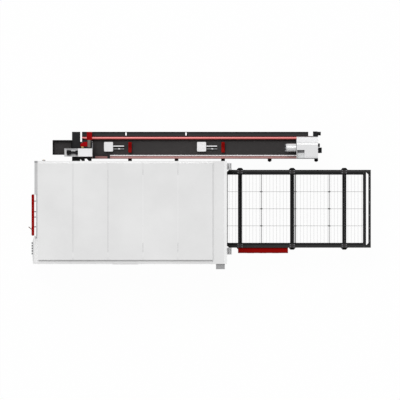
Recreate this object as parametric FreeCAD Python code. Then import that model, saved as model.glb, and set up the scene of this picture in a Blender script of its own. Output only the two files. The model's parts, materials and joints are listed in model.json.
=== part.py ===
"""Fiber laser cutting machine for sheet and tube, with a two-level exchange table.

Frame: +X along the machine towards the exchange table, +Y towards the tube unit, +Z up.
The origin is on the floor, under the middle of the machine. Sizes are in millimetres.
"""
import FreeCAD, Part
import os

os.makedirs("parts", exist_ok=True)

# ---------- general ----------
slide_gap = 0.3             # between pieces that slide on each other
panel_joint = 3.0           # open joint between neighbouring panels
sheet = 3.0                 # folded sheet steel
pick = 1.0                  # how near a face an edge lies to be taken for it

# ---------- cabinet ----------
cabinet_left = -3650.0      # outer face of the door-end wall
cabinet_front = -1433.0     # outer face of the front wall
cabinet_length = 3949.0     # without the exchange header
cabinet_width = 2281.0
wall_top = 2000.0
wall_bottom = 80.0
wall = 40.0
panel_count = 5             # wall cassettes and roof panels along the cabinet
panel_recess = 8.0          # pressed field of a wall panel
panel_margin = 70.0         # plain border round that field
base_bar_width = 54.0
foot_height = 30.0
foot_count_per_bar = 4

rim_height = 40.0           # frame on top of the walls
rim_width = 150.0
rear_overhang = 36.0        # the rim stands out over the rear wall
roof_height = 60.0          # folded roof panels on the rim
roof_front_inset = 90.0
roof_rear_inset = 52.0
roof_left_inset = 12.0

window_width = 520.0
window_height = 420.0
window_bottom = 1150.0
glass_thickness = 8.0
glazing_lap = 20.0          # glass beyond the opening, in its rebate

# ---------- exchange header: the hollow end that holds the lift door ----------
header_length = 313.0
header_wall = 20.0
header_step = 25.0          # header's top below the roof
opening_bottom = 520.0
opening_top = 1000.0
opening_side_gap = 8.0      # beyond the pallet tracks
lift_door_thickness = 24.0
lift_door_height = 590.0
lift_door_overlap = 25.0    # beside the opening
lift_door_raised = 10.0     # above the opening at rest
lift_door_fields = 4

# ---------- sliding door at the left end ----------
doorway_rear = 80.0
doorway_width = 820.0
doorway_top = 1940.0
leaf_width = 922.0
leaf_thickness = 62.0
leaf_top = 1990.0
leaf_bottom = 120.0
leaf_lap = 50.0             # leaf beyond the doorway at its rear edge
leaf_wall_gap = 72.0
leaf_recess = 10.0
leaf_bevel = 10.0
track_depth = 34.0
track_height = 80.0
track_top = 1970.0
track_wall = 8.0
hanger_width = 18.0
hanger_places = (0.16, 0.42, 0.55, 0.79)
shoe_length = 60.0
shoe_height = 52.0
shoe_back_gap = 2.3         # shoe to the rail's back web
rail_cover_depth = 68.0
handle_length = 90.0
handle_reach = 66.0
handle_thickness = 24.0
handle_height = 1050.0
handle_offset = 129.0       # from the leaf's front edge
handle_rake = 53.0

# ---------- operator cabinet at the front left corner ----------
operator_depth = 96.0
operator_width = 597.0
operator_bottom = 300.0
operator_top = 1950.0
screen_width = 420.0
screen_height = 300.0
screen_bottom = 1380.0
screen_thickness = 10.0
button_count = 5
button_pitch = 59.0
button_width = 40.0
button_length = 30.0
button_bevel = 8.0
button_stem_width = 18.0
button_stem_length = 34.0
button_travel = 4.0
button_end_gap = 1.0        # between the pressed stem and the bottom of its hole
button_height = 1250.0
button_first = 127.0        # from the operator cabinet's rear side
bezel_width = 50.0
bezel_height = 4.0

console_width = 198.0
console_depth = 117.0
console_height = 240.0
console_front_height = 96.0
console_top_depth = 29.0
console_bottom = 1050.0
console_right_inset = 47.0  # from the header's outer face

inlet_width = 78.0
inlet_depth = 58.0
inlet_height = 60.0
inlet_left_inset = 102.0
inlet_bottom = 1936.0
inlet_bore_radius = 12.0
inlet_bore_depth = 40.0

# ---------- pallets, two levels ----------
pallet_length = 3071.0
pallet_gap = 2.0            # from the header face to the parked pallet
pallet_width = 1628.0
pallet_offset = 1242.5      # pallet's middle, from the front wall
pallet_bay_count = 4
slats_per_bay = 10
side_tube_width = 48.0
side_tube_height = 80.0
member_thickness = 15.0
middle_member_thickness = 28.0
member_height = 60.0
length_bar_thickness = 12.0
length_bar_pitch = 384.0
gusset_length = 84.0
gusset_width = 40.0
slat_thickness = 5.0
slat_height = 90.0
slat_teeth = 4
slat_tooth_depth = 30.0
slat_end_gap = 2.0
upper_level = 790.0         # underside of the upper pallet
lower_level = 600.0
pallet_travel = 3130.0
track_end_inset = 166.0     # outer tracks end before the end bars
track_left_overhang = 44.0
track_right_overhang = 20.0

# ---------- pallet tracks and exchange table ----------
track_bar_width = 46.0
track_bar_height = 10.0
lower_angle_height = 60.0
track_side_gap = 2.0        # pallet side tube to the face that carries the track
rail_width = 60.0
rail_height = 120.0
rail_bottom = 780.0
rail_flange = 10.0
rail_corner_chamfer = 45.0
post_width = 91.0
post_first = 295.0          # from the header face to the first post's middle
post_pitch = 1173.0
post_count = 3
foot_plate_length = 146.0
foot_plate_thickness = 25.0
foot_plate_overhang = 45.0
foot_plate_chamfer = 36.0
anchor_radius = 9.0
anchor_inset = 23.0         # from the plate's inner edge
anchor_offset = 57.0        # along the machine, from the post's middle
cross_bar_bottom = 120.0
cross_bar_height = 80.0
stop_bar_width = 58.0
end_bar_gap = 50.7          # between the stop bar and the outer end bar
end_bar_width = 56.0
end_bar_height = 80.0
end_gusset = 45.0

drive_cover_left = 250.0    # from the header face
drive_cover_length = 1125.0
drive_cover_depth = 121.0
drive_cover_bottom = 500.0
drive_cover_height = 360.0
drive_cover_chamfer = 24.0

guide_post_width = 108.0
guide_post_depth = 153.0
guide_post_top = 1500.0
guide_groove = 22.0
guide_groove_depth = 130.0

# ---------- machine bed and gantry ----------
bed_left_inset = 350.0      # from the door-end wall
bed_right_inset = 72.0      # from the header's outer face
bed_beam_width = 164.0
bed_beam_height = 1000.0
bed_member_width = 150.0
bed_member_bottom = 60.0
bed_member_height = 300.0
bed_member_count = 4
bracket_width = 120.0
bracket_height = 80.0
bracket_drop = 60.0
bracket_count = 3
gantry_rail_size = 35.0
rail_end_inset = 10.0
gantry_left_inset = 550.0
gantry_width = 260.0
gantry_bottom = 1075.0
gantry_height = 225.0
gantry_slope = 60.0
gantry_pocket_count = 6
gantry_pocket_length = 230.0
gantry_pocket_depth = 65.0
gantry_pocket_low = 30.0    # from the beam's underside
gantry_pocket_high = 155.0
slider_length = 90.0
slider_width = 70.0
carriage_thickness = 100.0
carriage_width = 280.0
carriage_bottom = 1085.0
carriage_height = 355.0
carriage_bevel = 35.0
carriage_first = 240.0      # from the gantry's front end to the carriage's middle
head_width = 90.0
head_depth = 80.0
head_bottom = 1180.0
head_height = 240.0
nozzle_radius = 30.0
nozzle_tip_radius = 4.0
nozzle_tip = 1060.0
nozzle_cone = 40.0
collimator_radius = 24.0
collimator_length = 100.0

# ---------- tube unit ----------
tube_bed_inset = 1002.0     # bed's left end, from the door-end wall
tube_bed_length = 5310.0
tube_unit_gap = 86.0        # from the cabinet's rear wall to the bed
tube_bed_width = 511.0
tube_bed_bottom = 110.0
tube_bed_top = 820.0
tube_axis_height = 1100.0
tube_axis_inset = 249.0     # from the bed's front face
side_field_depth = 14.0
side_field_count = 5
side_field_length = 807.0
side_field_margin = 140.0
foot_first = 1080.0         # from the bed's left end
foot_pitch = 1047.0
pad_radius = 41.0
pad_thickness = 25.0
pad_sides = 20
stem_width = 24.0
foot_outset = 29.0
lug_width = 50.0
lug_bottom = 150.0
lug_thickness = 30.0
rear_rail_width = 90.0
rear_rail_height = 85.0
rear_rail_round = 24.0
front_rail_width = 62.0
front_rail_height = 60.0
front_rail_round = 10.0
clamp_inset = 14.0          # from the front chuck to the rail clamp
clamp_length = 391.0
clamp_leg = 59.0
clamp_depth = 20.0          # let into the front rail's top
clamp_setback = 4.0         # behind the rail's front face, and over the steel rail
linear_rail_width = 22.0
linear_rail_height = 20.0
linear_rail_offset = 1.0
rail_right_inset = 22.0
cable_tray_width = 96.0
cable_tray_height = 60.0
cable_tray_top = 760.0
cable_tray_length = 5091.0
cable_tray_wall = 4.0
tray_slot_places = (990.0, 2340.0)
tray_slot_width = 34.0
tray_slot_length = 76.0

support_width = 78.0
support_bevel = 22.0
support_span = 239.0
support_top = 950.0
support_head = 80.0
support_offset = 9.5        # support head's middle, from the tube axis
support_notch = 46.0
support_notch_width = 184.0
support_stem_width = 60.0
support_stem_length = 170.0
support_wells = (0, 2)      # which foot positions carry a support
lift_block_length = 202.0
lift_block_span = 214.0
lift_block_height = 85.0
lift_block_side_offset = 22.0   # block's middle, from the tube axis
lift_block_bevel = 12.0
lift_block_offset = 585.0   # from the support's middle to the block's far end
lift_rod_width = 24.0
lift_rod_pitch = 60.0
lift_rod_side_offset = 6.0  # rods' middle, from the tube axis
lift_rod_length = 248.0

stand_length = 186.0
stand_top = 900.0
stand_arch_width = 330.0
stand_arch_height = 560.0
stand_depth_behind = 96.0   # beyond the bed's rear face
column_width = 100.0
column_inset = 23.0
column_setback = 4.0        # behind the drive box's front face
link_length = 39.0          # from the stand to the bed
link_span = 382.0
link_bottom = 400.0
link_top = 800.0
tie_width = 102.0           # brackets from the bed to the cabinet's rear wall
tie_pitch = 152.0
tie_count = 2
tie_height = 220.0          # at the wall
tie_nose_height = 100.0     # at the bed
tie_bevel = 85.0

chuck_housing_left_inset = 8.0
chuck_housing_length = 217.0
chuck_housing_width = 343.0
chuck_housing_corner = 90.0
front_rotor_radius = 120.0
front_rotor_bore = 75.0
front_rotor_proud = 20.0
front_slot_width = 22.0
guard_length = 153.0        # plate on the chuck housing's top
guard_overhang = 42.0       # past the housing's left face
guard_offset = 32.0         # from the tube axis
guard_width = 100.0
guard_nose_width = 58.0
guard_thickness = 20.0
rib_inset = 115.0           # from the housing's left face
rib_width = 68.0
rib_thickness = 14.0
rib_lap = 10.0              # past the tube axis, towards the cabinet
rotor_gap = 0.5
drive_box_length = 321.0
drive_box_width = 184.0
drive_box_height = 127.0
drive_box_bevel = 8.0
drive_box_right_overhang = 6.0
drive_box_front_overhang = 29.0
motor_tray_length = 308.0
motor_tray_rim = 50.0
motor_size = 106.0
motor_length = 101.0
motor_left_inset = 50.0
gearbox_size = 56.0
motor_flange_size = 92.0
motor_flange_length = 60.0

outfeed_length = 435.0
outfeed_width = 326.0
outfeed_front_offset = 178.0   # from the stand's front face
outfeed_bottom = 840.0
outfeed_height = 90.0
outfeed_wall = 8.0
outfeed_leg = 60.0

end_bracket_length = 117.0
end_bracket_inset = 108.0
end_bracket_thickness = 20.0
end_bracket_setback = 2.0   # from the rail's front edge

rear_box_length = 482.0
rear_box_top = 1400.0
rear_box_tunnel_top = 1006.0
rear_box_step = 40.0
rear_box_inset = 16.0       # box behind the bed's rear face
tunnel_front_gap = 4.0
tunnel_rear_gap = 5.0
rear_box_bevel = 14.0       # along the box's front top edge
rear_recess_length = 170.0
rear_recess_width = 182.0
rear_recess_depth = 75.0
rear_recess_inset = 11.0
rear_recess_setback = 16.0  # from the box's front face
rear_nose_radius = 90.0
rear_nose_length = 235.0
rear_nose_depth = 190.0     # inside the white box
rear_nose_bore = 36.0
jaw_thickness = 26.0
jaw_width = 36.0
jaw_inner = 48.0
jaw_outer = 84.0
jaw_key_width = 16.0
jaw_key_depth = 14.0
jaw_key_margin = 8.0        # from the bore to the key's inner end
jaw_travel = 18.0
jaw_bevel = 10.0
turn_motor_length = 85.0
turn_motor_width = 124.0
turn_motor_bottom = 1100.0
turn_motor_side_offset = -57.0  # from the tube axis
motor_bevel = 11.0
small_motor_length = 42.0
small_motor_width = 79.0
small_motor_side_offset = 56.0
feed_gearbox_length = 101.0
feed_motor_length = 75.0
feed_motor_depth = 121.0
feed_motor_radius = 42.0
feed_motor_bottom = 800.0
feed_motor_height = 200.0
feed_bed_gap = 6.0          # gearbox to the bed's rear face
feed_left_inset = 369.0

# ---------- places worked out from the sizes ----------
cabinet_right = cabinet_left + cabinet_length
header_face = cabinet_right + header_length
cabinet_rear = cabinet_front + cabinet_width
rim_top = wall_top + rim_height
roof_top = rim_top + roof_height
wall_pitch = cabinet_length / panel_count
roof_left = cabinet_left + roof_left_inset
roof_pitch = (cabinet_right - roof_left) / panel_count

doorway = (doorway_rear - doorway_width, doorway_rear)
leaf_outer = cabinet_left - leaf_wall_gap - leaf_thickness
leaf_inner = cabinet_left - leaf_wall_gap
leaf_rear = doorway_rear + leaf_lap
leaf_span = (leaf_rear - leaf_width, leaf_rear)
track_outer = cabinet_left - track_depth

operator_face = cabinet_left - operator_depth
operator_rear = cabinet_front + operator_width

pallet_centre = cabinet_front + pallet_offset
pallet_front = pallet_centre - pallet_width / 2
pallet_rear = pallet_centre + pallet_width / 2
carrier_front = pallet_front - track_side_gap
carrier_rear = pallet_rear + track_side_gap
pallet_left = header_face + pallet_gap
end_bar_left = pallet_left + pallet_length + slide_gap + stop_bar_width + end_bar_gap
table_right = end_bar_left + end_bar_width
rail_top = rail_bottom + rail_height
post_places = [header_face + post_first + post_pitch * i for i in range(post_count)]

bed_left = cabinet_left + bed_left_inset
bed_right = header_face - bed_right_inset
gantry_rail_front = carrier_front - bed_beam_width / 2
gantry_rail_rear = carrier_rear + bed_beam_width / 2
gantry_left = cabinet_left + gantry_left_inset
gantry_right = gantry_left + gantry_width
gantry_front = carrier_front - bed_beam_width
gantry_rear = carrier_rear + bed_beam_width
carriage_middle = gantry_front + carriage_first
carriage_face = gantry_right + slide_gap + carriage_thickness

tube_bed_left = cabinet_left + tube_bed_inset
tube_bed_right = tube_bed_left + tube_bed_length
tube_bed_front = cabinet_rear + tube_unit_gap
tube_bed_rear = tube_bed_front + tube_bed_width
tube_axis = tube_bed_front + tube_axis_inset
foot_span = tube_bed_length - foot_first - lug_width / 2
foot_count = int(foot_span // foot_pitch) + 1
foot_places = [tube_bed_left + foot_first + foot_pitch * i for i in range(foot_count)]
support_places = [foot_places[i] for i in support_wells]
stand_right = tube_bed_left - link_length
stand_left = stand_right - stand_length
stand_rear = tube_bed_rear + stand_depth_behind
chuck_left = tube_bed_left + chuck_housing_left_inset
chuck_right = chuck_left + chuck_housing_length
chuck_top = tube_axis_height + chuck_housing_width / 2
drive_box_right = chuck_right + drive_box_right_overhang
drive_box_left = drive_box_right - drive_box_length
drive_box_front = tube_axis - chuck_housing_width / 2 - drive_box_front_overhang
rear_rail_top = tube_bed_top + rear_rail_height
front_rail_top = tube_bed_top + front_rail_height
front_rail_rear = tube_bed_front + front_rail_width
linear_rail_front = front_rail_rear + linear_rail_offset
clamp_x = (chuck_right + clamp_inset, chuck_right + clamp_inset + clamp_length)
clamp_legs = (
    (clamp_x[0], clamp_x[0] + clamp_leg),
    (clamp_x[1] - clamp_leg, clamp_x[1]),
)
rear_box_right = tube_bed_right
rear_box_left = rear_box_right - rear_box_length
rear_nose_left = rear_box_left - rear_nose_length
rear_box_rear = tube_bed_rear - rear_box_inset


# ---------- shape helpers ----------
def point(x, y, z):
    return FreeCAD.Vector(x, y, z)


def block(x, y, z):
    """Block between two values on each axis."""
    return Part.makeBox(x[1] - x[0], y[1] - y[0], z[1] - z[0], point(x[0], y[0], z[0]))


def rod_x(x, y, z, radius):
    return Part.makeCylinder(radius, x[1] - x[0], point(x[0], y, z), point(1, 0, 0))


def rod_y(x, y, z, radius):
    return Part.makeCylinder(radius, y[1] - y[0], point(x, y[0], z), point(0, 1, 0))


def rod_z(x, y, z, radius):
    return Part.makeCylinder(radius, z[1] - z[0], point(x, y, z[0]), point(0, 0, 1))


def prism_x(outline, x):
    """Outline of (y, z) points, extruded between two x values."""
    corners = [point(x[0], a, b) for a, b in outline]
    face = Part.Face(Part.makePolygon(corners + corners[:1]))
    return face.extrude(point(x[1] - x[0], 0, 0))


def prism_y(outline, y):
    """Outline of (x, z) points, extruded between two y values."""
    corners = [point(a, y[0], b) for a, b in outline]
    face = Part.Face(Part.makePolygon(corners + corners[:1]))
    return face.extrude(point(0, y[1] - y[0], 0))


def prism_z(outline, z):
    """Outline of (x, y) points, extruded between two z values."""
    corners = [point(a, b, z[0]) for a, b in outline]
    face = Part.Face(Part.makePolygon(corners + corners[:1]))
    return face.extrude(point(0, 0, z[1] - z[0]))


def disc(x, y, z, radius, sides):
    """Upright disc made of flats, for small round pads."""
    up = point(0, 0, 1)
    arm = point(radius, 0, 0)
    turned = [FreeCAD.Rotation(up, 360 * i / sides).multVec(arm) for i in range(sides)]
    return prism_z([(x + corner.x, y + corner.y) for corner in turned], z)


def joined(*pieces):
    """Pieces welded into one solid."""
    return pieces[0].multiFuse(list(pieces[1:])).removeSplitter()


def group(pieces):
    """Separate solids of one node."""
    return Part.makeCompound(list(pieces))


def around(middle, size):
    return (middle - size / 2, middle + size / 2)


def straight_edges(shape, direction, test):
    """Straight edges of a shape along a direction, whose middle passes a test."""
    found = []
    for edge in shape.Edges:
        if len(edge.Vertexes) < 2:
            continue
        run = edge.Vertexes[1].Point - edge.Vertexes[0].Point
        along = abs(run.dot(direction)) > 0.999 * run.Length
        if along and test(edge.CenterOfMass):
            found.append(edge)
    return found


# ---------- cabinet ----------
def wall_panel(x, outer, inner, z):
    """Wall cassette with a pressed field in its outer face, for the two long walls."""
    panel = block(x, sorted((outer, inner)), z)
    into = panel_recess if inner > outer else -panel_recess
    field = block(
        (x[0] + panel_margin, x[1] - panel_margin),
        sorted((outer, outer + into)),
        (z[0] + panel_margin, z[1] - panel_margin),
    )
    return panel.cut(field)


def long_wall(outer, inner):
    panels = []
    for i in range(panel_count):
        left = cabinet_left + wall_pitch * i
        x = (left, left + wall_pitch - panel_joint)
        panels.append(wall_panel(x, outer, inner, (wall_bottom, wall_top)))
    return panels


def window_opening(grow):
    middle = cabinet_left + wall_pitch * (panel_count // 2) + (wall_pitch - panel_joint) / 2
    return (
        around(middle, window_width + 2 * grow),
        (window_bottom - grow, window_bottom + window_height + grow),
    )


def window_panel(panel):
    """The middle front panel, with the viewing window's opening and glazing rebate."""
    x, z = window_opening(0)
    panel = panel.cut(block(x, (cabinet_front, cabinet_front + wall), z))
    x, z = window_opening(glazing_lap)
    rebate = (cabinet_front + wall - glass_thickness, cabinet_front + wall)
    return panel.cut(block(x, rebate, z))


def viewing_window():
    x, z = window_opening(glazing_lap - slide_gap)
    return block(x, (cabinet_front + wall - glass_thickness, cabinet_front + wall), z)


def door_wall():
    """Door-end wall: two panels and the lintel over the doorway."""
    x = (cabinet_left, cabinet_left + wall)
    front = cabinet_front + wall
    rear = cabinet_rear - wall
    lintel = block(x, doorway, (doorway_top, wall_top))
    front_panel = block(x, (front, doorway[0]), (wall_bottom, wall_top))
    rear_panel = block(x, (doorway[1], rear), (wall_bottom, wall_top))
    return group([front_panel, rear_panel, lintel])


def base_frame():
    """Bars under the walls, each long bar on a row of levelling plates."""
    z = (foot_height, wall_bottom)
    front = (cabinet_front, cabinet_front + base_bar_width)
    rear = (cabinet_rear - base_bar_width, cabinet_rear)
    bars = []
    for y in (front, rear):
        bar = block((cabinet_left, header_face), y, z)
        spacing = (header_face - cabinet_left - base_bar_width) / (foot_count_per_bar - 1)
        for i in range(foot_count_per_bar):
            x = cabinet_left + spacing * i
            bar = joined(bar, block((x, x + base_bar_width), y, (0, foot_height)))
        bars.append(bar)
    between = (front[1], rear[0])
    bars.append(block((cabinet_left, cabinet_left + base_bar_width), between, z))
    return group(bars)


def top_rim():
    z = (wall_top, rim_top)
    rear = cabinet_rear + rear_overhang
    x = (cabinet_left, cabinet_right)
    between = (cabinet_front + rim_width, cabinet_rear - rim_width)
    return group([
        block(x, (cabinet_front, between[0]), z),
        block(x, (between[1], rear), z),
        block((cabinet_left, cabinet_left + rim_width), between, z),
        block((cabinet_right - rim_width, cabinet_right), between, z),
    ])


def roof_panels():
    """Roof pans, folded down at their edges and open underneath."""
    y = (cabinet_front + roof_front_inset, cabinet_rear + rear_overhang - roof_rear_inset)
    inner_y = (y[0] + sheet, y[1] - sheet)
    pans = []
    for i in range(panel_count):
        left = roof_left + roof_pitch * i
        x = (left, left + roof_pitch - panel_joint)
        inner_x = (x[0] + sheet, x[1] - sheet)
        pan = block(x, y, (rim_top, roof_top))
        pans.append(pan.cut(block(inner_x, inner_y, (rim_top, roof_top - sheet))))
    return group(pans)


def exchange_header():
    """Hollow end housing, open towards the cabinet, with the pallet opening in its face."""
    x = (cabinet_right, header_face)
    y = (cabinet_front, cabinet_rear)
    inner_y = (y[0] + header_wall, y[1] - header_wall)
    shell = block(x, y, (wall_bottom, rim_top))
    hollow = block((x[0], x[1] - header_wall), inner_y, (wall_bottom, rim_top - header_wall))
    pallet_y = (carrier_front - opening_side_gap, carrier_rear + opening_side_gap)
    opening = block((x[1] - header_wall, x[1]), pallet_y, (opening_bottom, opening_top))
    cap = block(x, (y[0], y[1] + rear_overhang), (rim_top, roof_top - header_step))
    return joined(shell.cut(hollow).cut(opening), cap)


def lift_door():
    """Door of the pallet opening, raised inside the header, with stiffening folds."""
    right = header_face - header_wall - slide_gap
    x = (right - lift_door_thickness, right)
    side = opening_side_gap + lift_door_overlap
    y = (carrier_front - side, carrier_rear + side)
    bottom = opening_top + lift_door_raised
    door = block(x, y, (bottom, bottom + lift_door_height))
    field_x = (x[0], x[0] + lift_door_thickness / 2)
    margins = (lift_door_fields + 1) * lift_door_overlap
    bay = (y[1] - y[0] - margins) / lift_door_fields
    for i in range(lift_door_fields):
        start = y[0] + lift_door_overlap + (bay + lift_door_overlap) * i
        low = bottom + lift_door_overlap
        high = bottom + lift_door_height - lift_door_overlap
        door = door.cut(block(field_x, (start, start + bay), (low, high)))
    return door


# ---------- sliding door ----------
def sliding_door():
    """Door leaf with two pressed fields in its outer face and bevelled long edges."""
    leaf = block((leaf_outer, leaf_inner), leaf_span, (leaf_bottom, leaf_top))
    upright = point(0, 0, 1)
    edges = straight_edges(leaf, upright, lambda p: abs(p.x - leaf_outer) < pick)
    leaf = leaf.makeChamfer(leaf_bevel, edges)
    y = (leaf_span[0] + panel_margin, leaf_span[1] - panel_margin)
    lower = (leaf_bottom + panel_margin, handle_height - panel_margin / 2)
    upper = (handle_height + handle_length + panel_margin / 2, leaf_top - panel_margin)
    for z in (lower, upper):
        leaf = leaf.cut(block((leaf_outer, leaf_outer + leaf_recess), y, z))
    return leaf


def door_track():
    """Rail of C section along the wall, with a cover over its rear half."""
    front = operator_rear + panel_margin / 2
    rear = cabinet_rear
    x = (track_outer, cabinet_left)
    z = (track_top - track_height, track_top)
    rail = block(x, (front, rear), z)
    slot = block((x[0], x[1] - track_wall), (front, rear), (z[0] + track_wall, z[1] - track_wall))
    cover_x = (cabinet_left - rail_cover_depth, cabinet_left)
    cover_y = (leaf_rear, rear + rear_overhang)
    cover_z = (track_top, wall_top)
    cover = block(cover_x, cover_y, cover_z)
    return joined(rail.cut(slot), cover)


def hanger(y):
    """Arm from the leaf into the rail, with its slide shoe."""
    x = (leaf_inner, cabinet_left - track_wall - shoe_back_gap)
    floor = track_top - track_height + track_wall + slide_gap
    shoe_z = (floor, floor + shoe_height)
    arm = block(x, around(y, hanger_width), around(floor + shoe_height / 2, hanger_width))
    return joined(arm, block((track_outer, x[1]), around(y, shoe_length), shoe_z))


def door_hangers():
    return group([hanger(leaf_span[1] - leaf_width * share) for share in hanger_places])


def door_handle():
    """Slanted grip plate on the leaf, with a bent end."""
    y = leaf_span[0] + handle_offset
    outer = leaf_outer - handle_reach
    outline = [
        (leaf_outer, y),
        (leaf_outer, y + handle_thickness),
        (outer, y + handle_thickness + handle_rake),
        (outer, y + handle_rake),
    ]
    return prism_z(outline, (handle_height, handle_height + handle_length))


# ---------- operator cabinet, console, connections ----------
def button_places():
    first = operator_rear - button_first
    return [first - button_pitch * i for i in range(button_count)]


def operator_cabinet():
    """Shallow cabinet on the door-end wall, with a screen recess and five button holes."""
    x = (operator_face, cabinet_left)
    y = (cabinet_front, operator_rear)
    body = block(x, y, (operator_bottom, operator_top))
    middle = (y[0] + y[1]) / 2
    recess = block(
        (x[0], x[0] + screen_thickness),
        around(middle, screen_width),
        (screen_bottom, screen_bottom + screen_height),
    )
    body = body.cut(recess)
    hole_end = x[0] + button_stem_length
    for place in button_places():
        bezel_x = (x[0] - bezel_height, x[0])
        bezel = block(bezel_x, around(place, bezel_width), around(button_height, bezel_width))
        body = joined(body, bezel)
    hole_width = button_stem_width + 2 * slide_gap
    for place in button_places():
        hole_x = (x[0] - bezel_height, hole_end)
        hole = block(hole_x, around(place, hole_width), around(button_height, hole_width))
        body = body.cut(hole)
    return body


def operator_screen():
    x = (operator_face, operator_face + screen_thickness)
    middle = (cabinet_front + operator_rear) / 2
    y = around(middle, screen_width - 2 * slide_gap)
    z = (screen_bottom + slide_gap, screen_bottom + screen_height - slide_gap)
    return block(x, y, z)


def push_button(place):
    """Cap with bevelled corners on a square stem, with room for its travel."""
    cap_end = operator_face - bezel_height - button_travel - slide_gap
    y = around(place, button_width)
    z = around(button_height, button_width)
    cap = block((cap_end - button_length, cap_end), y, z)
    cap = cap.makeChamfer(button_bevel, straight_edges(cap, point(1, 0, 0), lambda p: True))
    stem_end = operator_face + button_stem_length - button_travel - button_end_gap
    stem_y = around(place, button_stem_width)
    stem_z = around(button_height, button_stem_width)
    return joined(cap, block((cap_end, stem_end), stem_y, stem_z))


def console_box():
    """Small desk on the header's front wall, with a sloped top."""
    right = header_face - console_right_inset
    outer = cabinet_front - console_depth
    top = console_bottom + console_height
    outline = [
        (cabinet_front, console_bottom),
        (outer, console_bottom),
        (outer, console_bottom + console_front_height),
        (cabinet_front - console_top_depth, top),
        (cabinet_front, top),
    ]
    return prism_x(outline, (right - console_width, right))


def gas_inlet():
    """Connection block on the rear wall, with one port."""
    left = cabinet_left + inlet_left_inset
    y = (cabinet_rear, cabinet_rear + inlet_depth)
    body = block((left, left + inlet_width), y, (inlet_bottom, inlet_bottom + inlet_height))
    port_y = (y[1] - inlet_bore_depth, y[1])
    middle = (left + inlet_width / 2, inlet_bottom + inlet_height / 2)
    return body.cut(rod_y(middle[0], port_y, middle[1], inlet_bore_radius))


# ---------- pallets ----------
def member_places():
    """Middles and thicknesses of a pallet's cross-members."""
    bay = (pallet_length - member_thickness) / pallet_bay_count
    places = []
    for i in range(pallet_bay_count + 1):
        thick = middle_member_thickness if i == pallet_bay_count // 2 else member_thickness
        places.append((member_thickness / 2 + bay * i, thick))
    return places


def length_bar_places():
    return [pallet_centre + length_bar_pitch * i for i in (-1, 0, 1)]


def pallet_frame(left, level):
    """Welded pallet frame: side tubes, cross-members, lengthwise bars and gussets."""
    x = (left, left + pallet_length)
    tube_z = (level, level + side_tube_height)
    member_z = (level, level + member_height)
    inner = (pallet_front + side_tube_width, pallet_rear - side_tube_width)
    pieces = [
        block(x, (pallet_front, inner[0]), tube_z),
        block(x, (inner[1], pallet_rear), tube_z),
    ]
    for place, thick in member_places():
        pieces.append(block(around(left + place, thick), inner, member_z))
    for y in length_bar_places():
        pieces.append(block(x, around(y, length_bar_thickness), member_z))
    gusset_z = (level + member_height - length_bar_thickness, level + member_height)
    for place, thick in member_places()[1:-1]:
        for y in length_bar_places():
            middle = left + place
            outline = [
                (middle - gusset_length / 2, y),
                (middle, y - gusset_width / 2),
                (middle + gusset_length / 2, y),
                (middle, y + gusset_width / 2),
            ]
            pieces.append(prism_z(outline, gusset_z))
    return joined(*pieces)


def slat(x, level):
    """Toothed support slat, standing on the pallet's lengthwise bars."""
    front = pallet_front + side_tube_width + slat_end_gap
    rear = pallet_rear - side_tube_width - slat_end_gap
    bottom = level + member_height
    top = bottom + slat_height
    valley = top - slat_tooth_depth
    pitch = (rear - front) / slat_teeth
    outline = [(front, bottom), (front, valley)]
    for i in range(slat_teeth):
        outline.append((front + pitch * (i + 0.5), top))
        outline.append((front + pitch * (i + 1), valley))
    outline.append((rear, bottom))
    return prism_x(outline, around(x, slat_thickness))


def pallet_slats(left, level):
    count = pallet_bay_count * slats_per_bay
    pitch = (pallet_length - member_thickness) / count
    first = left + member_thickness / 2 + pitch / 2
    return group([slat(first + pitch * i, level) for i in range(count)])


def pallet_tracks():
    """Tracks of both levels, inside and outside the exchange door."""
    inside_x = pallet_left - pallet_travel
    inner_x = (inside_x - track_left_overhang, bed_right + track_right_overhang)
    outer_x = (header_face - header_wall / 2, table_right - track_end_inset)
    bars = []
    for x in (inner_x, outer_x):
        for face, side in ((carrier_rear, -1), (carrier_front, 1)):
            far = face + side * track_bar_width
            y = sorted((face, far))
            bars.append(block(x, y, (upper_level - track_bar_height, upper_level)))
            low = lower_level - lower_angle_height
            thin = face + side * track_bar_height
            outline = [
                (face, low),
                (thin, low),
                (thin, lower_level - track_bar_height),
                (far, lower_level - track_bar_height),
                (far, lower_level),
                (face, lower_level),
            ]
            bars.append(prism_x(outline, x))
    return group(bars)


# ---------- exchange table ----------
def side_rail(inner, side):
    """Channel rail, open towards the outside, cut off at its outer corner by the header."""
    outer = inner + side * rail_width
    lip = inner + side * rail_flange
    outline = [
        (inner, rail_bottom),
        (outer, rail_bottom),
        (outer, rail_bottom + rail_flange),
        (lip, rail_bottom + rail_flange),
        (lip, rail_top - rail_flange),
        (outer, rail_top - rail_flange),
        (outer, rail_top),
        (inner, rail_top),
    ]
    rail = prism_x(outline, (header_face, table_right))
    corner = [
        (header_face, outer),
        (header_face + rail_corner_chamfer, outer),
        (header_face, outer - side * rail_corner_chamfer),
    ]
    return rail.cut(prism_z(corner, (rail_bottom, rail_top)))


def table_side_rails():
    return group([side_rail(carrier_rear, 1), side_rail(carrier_front, -1)])


def table_post(x, inner, side):
    """Post with a bevelled foot plate and its anchor hole."""
    outer = inner + side * rail_width
    post = block(around(x, post_width), sorted((inner, outer)), (foot_plate_thickness, rail_bottom))
    edge = outer + side * foot_plate_overhang
    back = inner - side * track_bar_width
    half = foot_plate_length / 2
    cut = foot_plate_chamfer
    outline = [
        (x - half, back),
        (x + half, back),
        (x + half, edge - side * cut),
        (x + half - cut, edge),
        (x - half + cut, edge),
        (x - half, edge - side * cut),
    ]
    plate = prism_z(outline, (0, foot_plate_thickness))
    hole = (x + anchor_offset, back + side * anchor_inset)
    plate = plate.cut(rod_z(hole[0], hole[1], (0, foot_plate_thickness), anchor_radius))
    return joined(post, plate)


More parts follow.
